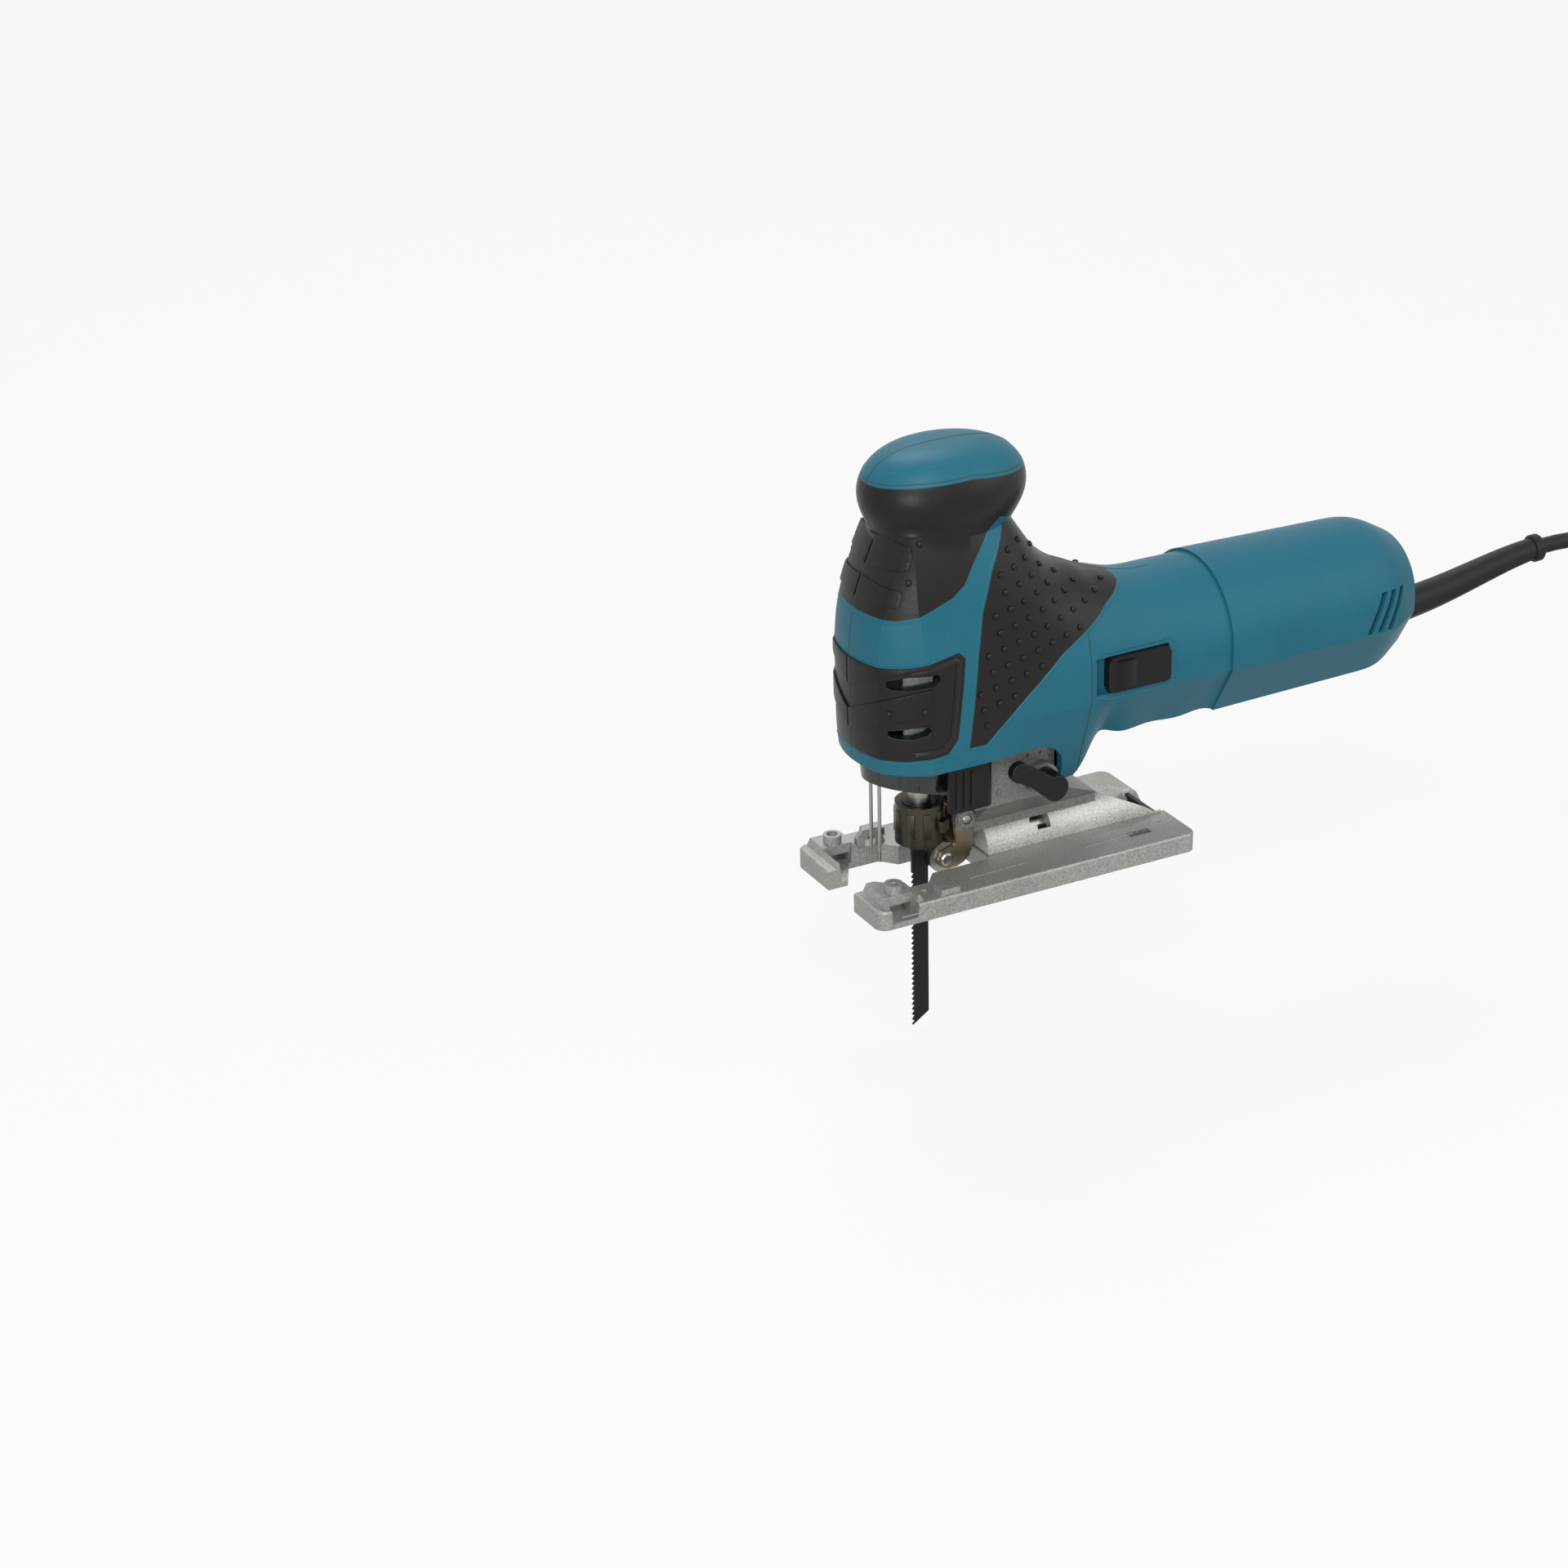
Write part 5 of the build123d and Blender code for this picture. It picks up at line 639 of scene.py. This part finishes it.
joint_line = [(27.0, 44.0), (27.0, 112.4), (27.0, 113.5)]
for side, side_name in SIDES:
    joint_points = line_on(body_skin, joint_line, side, sunk=0.1 * MM)
    joint_seam = bead(broken_where_far(joint_points, seam_reach), seam_radius)
    finished(joint_seam, "motor_housing_seam_" + side_name, "housing", seam_shadow)

# Grips and vent panels: black thermoplastic elastomer moulded over the shells, dull and slightly dusty. The
# side grips have rows of small studs, the upper grips two raised tabs, and the vent panels raised bands.
black_elastomer = grained_finish(
    "black_moulded_elastomer", "121110", "1c1a18", (0.32, 0.44), 0.0, 0.7, 0.03, shine=0.2
)
dress(
    black_elastomer, "knob_grip_left", "knob_grip_right", "side_grip_left", "side_grip_right",
    "vent_panel_left", "vent_panel_right",
)
side_grip_outline = [
    (-32.4, 72.4), (-27.7, 113.0), (-24.5, 131.0), (-18.0, 147.0), (-8.0, 163.8), (24.0, 158.0),
    (53.0, 140.0), (53.0, 124.0), (40.0, 119.5), (13.6, 105.5), (-6.0, 89.0), (-24.2, 72.4),
]
nose_x = -40.0


def well_inside(outline, x, z, margin):
    """Whether a side-view point lies inside an outline, at least a margin from its edges."""
    inside = False
    for (x0, z0), (x1, z1) in zip(outline, outline[1:] + outline[:1]):
        run = Vector((x1 - x0, z1 - z0))
        along = max(0.0, min(1.0, (Vector((x - x0, z - z0)).dot(run)) / run.length_squared))
        if math.hypot(x - x0 - run.x * along, z - z0 - run.y * along) < margin:
            return False
        if (z0 > z) != (z1 > z) and x < x0 + (x1 - x0) * (z - z0) / (z1 - z0):
            inside = not inside
    return inside


def stud(radius, rise):
    """A low dome that stands on the XY plane: a sphere cut just below its middle and pressed flat."""
    bpy.ops.object.select_all(action="DESELECT")
    bpy.ops.mesh.primitive_uv_sphere_add(segments=12, ring_count=8, radius=radius)
    dome = bpy.context.active_object
    bpy.ops.object.mode_set(mode="EDIT")
    bpy.ops.mesh.select_all(action="SELECT")
    cut = (0.0, 0.0, -0.1 * radius)
    bpy.ops.mesh.bisect(plane_co=cut, plane_no=(0.0, 0.0, 1.0), clear_inner=True, use_fill=True)
    bpy.ops.mesh.select_all(action="SELECT")
    bpy.ops.transform.resize(value=(1.0, 1.0, rise / radius))
    bpy.ops.object.mode_set(mode="OBJECT")
    return dome


def thickened(piece, thickness, offset):
    """Gives an open skin, the active piece, a thickness: outward for an offset of 1, inward for -1."""
    thicken = piece.modifiers.new("thicken", "SOLIDIFY")
    thicken.thickness = thickness
    thicken.offset = offset
    bpy.ops.object.modifier_apply(modifier="thicken")


def trimmed_skin(node, planes, rise):
    """A raised copy of a node's outer skin round the nose, cut back to planes of (point, outward way)."""
    least_outward = 0.35
    patch = bpy.data.objects.new("patch", nodes[node].data.copy())
    bpy.context.scene.collection.objects.link(patch)
    pick(patch)
    bpy.ops.object.mode_set(mode="EDIT")
    bpy.ops.mesh.select_all(action="SELECT")
    bpy.ops.mesh.remove_doubles(threshold=0.005 * MM)
    for point, way in planes:
        bpy.ops.mesh.select_all(action="SELECT")
        bpy.ops.mesh.bisect(plane_co=point, plane_no=way, clear_outer=True)
    bpy.ops.mesh.select_all(action="DESELECT")
    bpy.ops.object.mode_set(mode="OBJECT")
    for face in patch.data.polygons:
        outward = Vector((face.center.x - nose_x * MM, face.center.y, 0.0)).normalized()
        face.select = face.normal.dot(outward) < least_outward
    bpy.ops.object.mode_set(mode="EDIT")
    bpy.ops.mesh.delete(type="FACE")
    bpy.ops.object.mode_set(mode="OBJECT")
    thickened(patch, thickness=rise, offset=1.0)
    soften = patch.modifiers.new("soften", "BEVEL")
    soften.width = 0.35 * rise
    soften.segments = 2
    soften.limit_method = "ANGLE"
    soften.angle_limit = math.radians(50.0)
    bpy.ops.object.modifier_apply(modifier="soften")
    return patch


def upright_cut(front, rear, side):
    """A plane through two skin points and square to the skin there, that cuts off what lies behind it."""
    a = Vector((front[0], front[1] * -side, front[2])) * MM
    b = Vector((rear[0], rear[1] * -side, rear[2])) * MM
    outward = Vector(((a.x + b.x) / 2 - nose_x * MM, (a.y + b.y) / 2, 0.0))
    return a, (b - a).cross(outward).normalized()


tab_outlines = (
    (
        (-60.0, -0.6, 164.9), (-53.6, -20.3, 162.5), (-53.4, -21.8, 159.7), (-55.6, -22.0, 154.4),
        (-57.4, -20.6, 153.4), (-63.8, -0.6, 150.9),
    ),
    (
        (-65.3, -0.5, 146.6), (-59.5, -21.9, 145.3), (-59.0, -22.7, 144.2), (-60.8, -22.9, 138.8),
        (-62.2, -21.8, 138.1), (-68.4, -0.6, 137.7),
    ),
)
nose_stand_off = 30.0 * MM
nose_stud_points = ((-49.4, -20.6, 163.7), (-56.4, -23.5, 148.9), (-65.4, -22.5, 92.0), (-53.0, -30.5, 93.3))
vent_borders = ((99.3, 0.416), (88.0, 0.468), (79.2, 0.368))
first_stud = (-18.0, 89.9)
stud_pitch = 7.5
row_pitch = 7.35
row_slant = 1.6
stud_margin = 2.4
stud_sideways = 0.3
pad_rise = 0.8 * MM
panel_top = 100.0
for side, side_name in SIDES:
    grip_skin = skin_of("side_grip_" + side_name)
    stud_places = []
    for row in range(-4, 12):
        for column in range(-6, 14):
            x = first_stud[0] + stud_pitch * column - row_slant * row
            z = first_stud[1] + row_slant * column + row_pitch * row
            if not well_inside(side_grip_outline, x, z, stud_margin):
                continue
            found = from_side(grip_skin, x, z, side)
            if found and abs(found[1].y) > stud_sideways:
                stud_places.append(stood_at(*found))
    grip_studs = copied_to(stud(radius=1.45 * MM, rise=0.95 * MM), stud_places)
    finished(grip_studs, "grip_studs_" + side_name, "housing", black_elastomer)
    nose_places = []
    for x, y, z in nose_stud_points:
        aim = Vector((x - nose_x, -side * y, 0.0)).normalized()
        start = Vector((x * MM, -side * y * MM, z * MM)) + aim * nose_stand_off
        place, facing = touch(body_skin, start, -aim)
        nose_places.append(stood_at(place + facing * (pad_rise if z < panel_top else 0.0), facing))
    nose_studs = copied_to(stud(radius=1.5 * MM, rise=0.9 * MM), nose_places)
    finished(nose_studs, "nose_studs_" + side_name, "housing", black_elastomer)
    for number, tab in enumerate(tab_outlines, 1):
        cuts = [upright_cut(a, b, side) for a, b in zip(tab, tab[1:] + tab[:1])]
        centre = sum((Vector((x, -side * y, z)) * MM for x, y, z in tab), Vector()) / len(tab)
        planes = [(point, way if (centre - point).dot(way) < 0 else -way) for point, way in cuts]
        patch = trimmed_skin("knob_grip_" + side_name, planes, pad_rise)
        tab_name = "upper_grip_tab_%d_%s" % (number, side_name)
        finished(patch, tab_name, "housing", black_elastomer)
    seam_cut = (Vector((0.0, side * 0.4 * MM, 0.0)), Vector((0.0, -side, 0.0)))
    rear_cut = (Vector((-50.0, side * 32.0, 0.0)) * MM, Vector((1.0, 0.0, 0.0)))
    below_upper, above_middle, below_middle = [
        (Vector((0.0, 0.0, z * MM)), Vector((0.0, -side * slope, 1.0)).normalized() * facing)
        for (z, slope), facing in zip(vent_borders, (-1.0, 1.0, -1.0))
    ]
    panel = "vent_panel_" + side_name
    upper_band = trimmed_skin(panel, [seam_cut, rear_cut, below_upper], pad_rise)
    finished(upper_band, "vent_band_upper_" + side_name, "housing", black_elastomer)
    middle_band = trimmed_skin(panel, [seam_cut, rear_cut, above_middle, below_middle], pad_rise)
    finished(middle_band, "vent_band_middle_" + side_name, "housing", black_elastomer)

# Vent slots: each is lined with the panel's elastomer down to the shell's inner face and has a rounded lip.
# A raised frame runs along the panel's upper, rear and lower edges.
vent_frame_line = [
    (-58.0, 110.0), (-46.0, 112.2), (-38.9, 113.5), (-37.1, 111.8), (-40.9, 79.6), (-44.4, 75.0),
    (-58.0, 73.2),
]
slot_outlines = (
    [
        (-66.5, 103.4), (-64.5, 102.4), (-59.0, 102.4), (-48.0, 104.4), (-45.8, 106.6), (-47.0, 109.6),
        (-59.0, 109.0), (-66.5, 106.6),
    ],
    [
        (-66.0, 81.6), (-64.0, 80.4), (-57.6, 80.3), (-52.0, 82.0), (-50.2, 84.2), (-51.4, 86.4),
        (-57.6, 85.9), (-66.0, 84.2),
    ],
)
slot_found = 1.05  # scale at which a slot's outline is found on the panel, clear of the hole
slot_drawn = 0.95  # scale by which it is then drawn in again
lining_depth = 4.2 * MM
for side, side_name in SIDES:
    panel_skin = skin_of("vent_panel_" + side_name)
    slot_pieces = []
    for outline in slot_outlines:
        middle = sum((Vector(corner) for corner in outline), Vector((0.0, 0.0))) / len(outline)
        wider = [tuple(middle + (Vector(corner) - middle) * slot_found) for corner in outline]
        middle_x = middle.x * MM
        middle_z = middle.y * MM
        rim = [
            Vector((middle_x + (x - middle_x) * slot_drawn, y, middle_z + (z - middle_z) * slot_drawn))
            for x, y, z in line_on(panel_skin, wider + wider[:1], side, sunk=0.0)
        ]
        bpy.ops.object.select_all(action="DESELECT")
        bpy.ops.mesh.primitive_circle_add(vertices=len(rim), radius=1.0, fill_type="NOTHING")
        lining = bpy.context.active_object
        for vertex, point in zip(lining.data.vertices, rim):
            vertex.co = point
        bpy.ops.object.mode_set(mode="EDIT")
        bpy.ops.mesh.select_all(action="SELECT")
        bpy.ops.mesh.extrude_edges_move(TRANSFORM_OT_translate={"value": (0.0, -side * lining_depth, 0.0)})
        bpy.ops.mesh.select_all(action="SELECT")
        bpy.ops.mesh.normals_make_consistent(inside=False)
        bpy.ops.object.mode_set(mode="OBJECT")
        thickened(lining, thickness=0.25 * MM, offset=-1.0)
        slot_pieces.append(lining)
        slot_pieces.append(bead([rim + rim[:1]], radius=0.4 * MM))
    linings = joined(slot_pieces)
    finished(linings, "vent_slot_linings_" + side_name, "housing", black_elastomer)
    frame_points = line_on(panel_skin, vent_frame_line, side, sunk=1.0 * MM)
    vent_frame = bead(broken_where_far(frame_points, reach=6.0 * MM), radius=1.8 * MM)
    finished(vent_frame, "vent_frame_" + side_name, "housing", black_elastomer)


# Bands and cap: a fine roll of teal follows each pad's edge round the nose, and a fine line runs round the
# cap just above the upper grip.
def height_of(border, x):
    """Height of a side-view line, given as corners from front to rear, at one x."""
    for (x0, z0), (x1, z1) in zip(border, border[1:]):
        if x <= x1:
            break
    return z0 + (z1 - z0) * (x - x0) / (x1 - x0)


def line_round(skin, axis_x, border, turns, sunk):
    """Points round an upright axis where a side-view line falls on a skin, set into the skin by sunk."""
    rounds = 5
    points = []
    for turn in turns:
        aim = Vector((-math.cos(math.radians(turn)), math.sin(math.radians(turn)), 0.0))
        z = border[0][1]
        for _ in range(rounds):
            found = touch(skin, Vector((axis_x * MM, 0.0, z * MM)) + aim * OUTSIDE, -aim)
            z = height_of(border, found[0].x / MM)
        points.append(found[0] - found[1] * sunk)
    return points


band_borders = (
    [(-95.0, 131.6), (-62.0, 131.6), (-50.0, 134.6), (-37.6, 138.4)],
    [(-95.0, 111.9), (-60.0, 113.9), (-37.0, 117.9)],
    [(-95.0, 68.7), (-60.0, 68.9), (-42.0, 70.7)],
)
for number, border in enumerate(band_borders, 1):
    band_points = line_round(body_skin, nose_x, border, range(-92, 93, 2), sunk=0.25 * MM)
    band_run = [point for point in band_points if point.x < border[-1][0] * MM]
    band_roll = bead([band_run], radius=0.5 * MM)
    finished(band_roll, "nose_band_roll_%d" % number, "housing", teal_plastic)
cap_border = [(-95.0, 184.4), (-50.0, 189.0), (-27.0, 190.4), (-8.0, 188.0), (24.0, 185.4)]
cap_x = -27.4
cap_points = line_round(body_skin, cap_x, cap_border, range(0, 360, 3), sunk=0.12 * MM)
cap_line = bead([cap_points + cap_points[:1]], radius=0.26 * MM)
finished(cap_line, "cap_line", "housing", seam_shadow)

# Neck of the upper grip: the elastomer sweeps from the nose out into the knob in one hollow curve. It is a
# thin skin that bridges the crease under the knob, from the front round to both teal stripes.
neck_axis = Vector((-36.0, 0.0, 0.0)) * MM
neck_rear = -26.0 * MM
neck_heights = [148.0 + 0.5 * i for i in range(64)]
crease_rows = range(14, 52)
rows_below = 12
rows_above = 8
curve_steps = 8
neck_proud = 0.05 * MM
neck_rows = []
for turn in range(-128, 129, 4):
    aim = Vector((-math.cos(math.radians(turn)), math.sin(math.radians(turn)), 0.0))
    profile = []
    for z in neck_heights:
        found = touch(body_skin, neck_axis + aim * OUTSIDE + Vector((0.0, 0.0, z * MM)), -aim)
        profile.append(found[0])
    reaches = [(point - neck_axis).dot(aim) for point in profile]
    crease = min(crease_rows, key=lambda i: reaches[i])
    low = profile[crease - rows_below]
    middle = profile[crease]
    high = profile[crease + rows_above]
    row = []
    for i in range(curve_steps + 1):
        t = i / curve_steps
        row.append(low * (1 - t) ** 2 + middle * (2 * t * (1 - t)) + high * t**2 + aim * neck_proud)
    if middle.x < neck_rear:
        neck_rows.append(row)
bpy.ops.object.select_all(action="DESELECT")
bpy.ops.mesh.primitive_grid_add(x_subdivisions=curve_steps, y_subdivisions=len(neck_rows) - 1, size=1.0)
neck = bpy.context.active_object
for vertex, point in zip(neck.data.vertices, [point for row in neck_rows for point in row]):
    vertex.co = point
bpy.ops.object.mode_set(mode="EDIT")
bpy.ops.mesh.select_all(action="SELECT")
bpy.ops.mesh.normals_make_consistent(inside=False)
bpy.ops.object.mode_set(mode="OBJECT")
if sum((face.normal.dot(face.center - neck_axis) for face in neck.data.polygons), 0.0) < 0:
    bpy.ops.object.mode_set(mode="EDIT")
    bpy.ops.mesh.flip_normals()
    bpy.ops.object.mode_set(mode="OBJECT")
thickened(neck, thickness=0.5 * MM, offset=-1.0)
finished(neck, "upper_grip_neck", "housing", black_elastomer)

# Grip borders: a rolled edge of the teal shell stands along the front and the lower edge of each side grip.
# It is moulded with the shell, so it has the shell's finish.
for side, side_name in SIDES:
    shell_skin = skin_of("handle_shell_" + side_name, "motor_housing")
    for border_name, outline in (
        ("side_grip_border_", [(-33.2, 71.6), (-28.5, 113.0), (-25.3, 131.2), (-18.8, 147.4), (-9.0, 163.0)]),
        ("side_grip_edge_", [(52.0, 122.8), (40.4, 118.7), (14.2, 104.8), (-5.4, 88.3), (-23.9, 71.6)]),
    ):
        points = line_on(shell_skin, outline, side, sunk=0.25 * MM)
        rolled_edge = bead(broken_where_far(points, reach=6.0 * MM), radius=0.55 * MM)
        finished(rolled_edge, border_name + side_name, "housing", teal_plastic)

# Switch surround: a low rim, moulded into the left wall of the motor housing, frames the thumb switch and
# its slot.
motor_skin = skin_of("motor_housing")
switch_rim_outline = [
    (28.9, 98.6), (33.0, 101.2), (67.4, 101.2), (69.6, 99.0), (69.6, 82.0), (67.4, 80.6), (49.3, 80.1),
    (36.1, 79.7), (28.9, 82.0),
]
rim_points = line_on(motor_skin, switch_rim_outline + switch_rim_outline[:1], side=-1.0, sunk=0.2 * MM)
switch_rim = bead(broken_where_far(rim_points + rim_points[:1], reach=8.0 * MM), radius=0.6 * MM)
finished(switch_rim, "switch_rim", "housing", teal_plastic)

# Screw recesses: the crossed driver slots in the heads of the screws that hold the handle's halves and the
# rear cover. They read as dark bars.
slot_shadow = grained_finish("screw_slot_shadow", "17171a", "202022", (0.5, 0.6), 0.6, 0.6, 0.01)
slot_length = 4.2 * MM
slot_width = 0.9 * MM
slot_height = 0.12 * MM
slot_edge = 0.04 * MM
handle_slots = copied_to(
    bevelled_bar((slot_length, slot_height, slot_width), edge=slot_edge),
    [
        Matrix.Translation(Vector((x, 29.5, z)) * MM) @ Matrix.Rotation(turn, 4, "Y")
        for x, z in ((-35.2, 74.0), (-2.0, 74.0), (-36.0, 126.0))
        for turn in (0.0, math.pi / 2)
    ],
)
finished(handle_slots, "handle_screw_slots", "housing", slot_shadow)
cover_slots = copied_to(
    bevelled_bar((slot_height, slot_length, slot_width), edge=slot_edge),
    [
        Matrix.Translation(Vector((162.5, y, 78.0)) * MM) @ Matrix.Rotation(turn, 4, "X")
        for y in (-15.0, 15.0)
        for turn in (0.0, math.pi / 2)
    ],
)
finished(cover_slots, "cover_screw_slots", "housing", slot_shadow)


# Floor and light: a white sweep under the tool and four soft lamps at a plain level. What the lens sees of
# the floor and of the world is nearly white, and the floor keeps the tool's soft shadow.
def seen_share(holder):
    """A value of 1 for what the lens sees, also mirrored or through clear plastic, and 0 for other light."""
    path = add_node(holder, "ShaderNodeLightPath")
    straight_or_mirrored = [(path, "Is Camera Ray", 0), (path, "Is Glossy Ray", 1)]
    seen = add_node(holder, "ShaderNodeMath", straight_or_mirrored, operation="MAXIMUM")
    or_through = [(seen, "Value", 0), (path, "Is Transmission Ray", 1)]
    return add_node(holder, "ShaderNodeMath", or_through, operation="MAXIMUM")


white = (1.0, 1.0, 1.0, 1.0)
floor_glow = 0.88
bpy.ops.object.select_all(action="DESELECT")
bpy.ops.mesh.primitive_plane_add(size=12.0, location=(0.0, 0.0, floor_height))
floor = bpy.context.active_object
floor.name = "floor"
floor_paint = bpy.data.materials.new("white_floor")
floor_paint.use_nodes = True
floor_tree = floor_paint.node_tree
floor_shader = floor_tree.nodes["Principled BSDF"]
floor_shader.inputs["Base Color"].default_value = linear("b4b4b2")
floor_shader.inputs["Roughness"].default_value = 0.8
floor_seen = [(seen_share(floor_paint), "Value", 0)]
glow_share = add_node(floor_paint, "ShaderNodeMath", floor_seen, {1: floor_glow}, operation="MULTIPLY")
white_glow = add_node(floor_paint, "ShaderNodeEmission", (), {"Color": white, "Strength": 1.0})
floor_mix = add_node(
    floor_paint,
    "ShaderNodeMixShader",
    [(glow_share, "Value", 0), (floor_shader, "BSDF", 1), (white_glow, "Emission", 2)],
)
floor_tree.links.new(floor_mix.outputs["Shader"], floor_tree.nodes["Material Output"].inputs["Surface"])
floor.data.materials.append(floor_paint)
world = bpy.data.worlds.new("studio")
bpy.context.scene.world = world
world.use_nodes = True
soft_sky = world.node_tree.nodes["Background"]
soft_sky.inputs["Color"].default_value = (0.93, 0.94, 0.95, 1.0)
soft_sky.inputs["Strength"].default_value = 0.38
white_sky = add_node(world, "ShaderNodeBackground", (), {"Color": white, "Strength": 1.0})
sky_mix = add_node(
    world,
    "ShaderNodeMixShader",
    [(seen_share(world), "Value", 0), (soft_sky, "Background", 1), (white_sky, "Background", 2)],
)
world.node_tree.links.new(sky_mix.outputs["Shader"], world.node_tree.nodes["World Output"].inputs["Surface"])
lamp_aim = Vector((0.05, 0.0, 0.09))
for lamp_name, place, power, size in (
    ("key", (-0.9, -1.3, 1.8), 34.0, 0.9),
    ("strip", (-1.1, -1.25, 0.25), 10.0, 0.5),
    ("fill", (1.3, -1.2, 1.0), 12.0, 1.4),
    ("rim", (0.3, 1.2, 1.9), 22.0, 0.9),
):
    lamp = bpy.data.lights.new(lamp_name, "AREA")
    lamp.energy = power
    lamp.size = size
    lamp_object = bpy.data.objects.new(lamp_name, lamp)
    lamp_object.location = place
    lamp_object.rotation_euler = (lamp_aim - Vector(place)).to_track_quat("-Z", "Y").to_euler()
    bpy.context.scene.collection.objects.link(lamp_object)
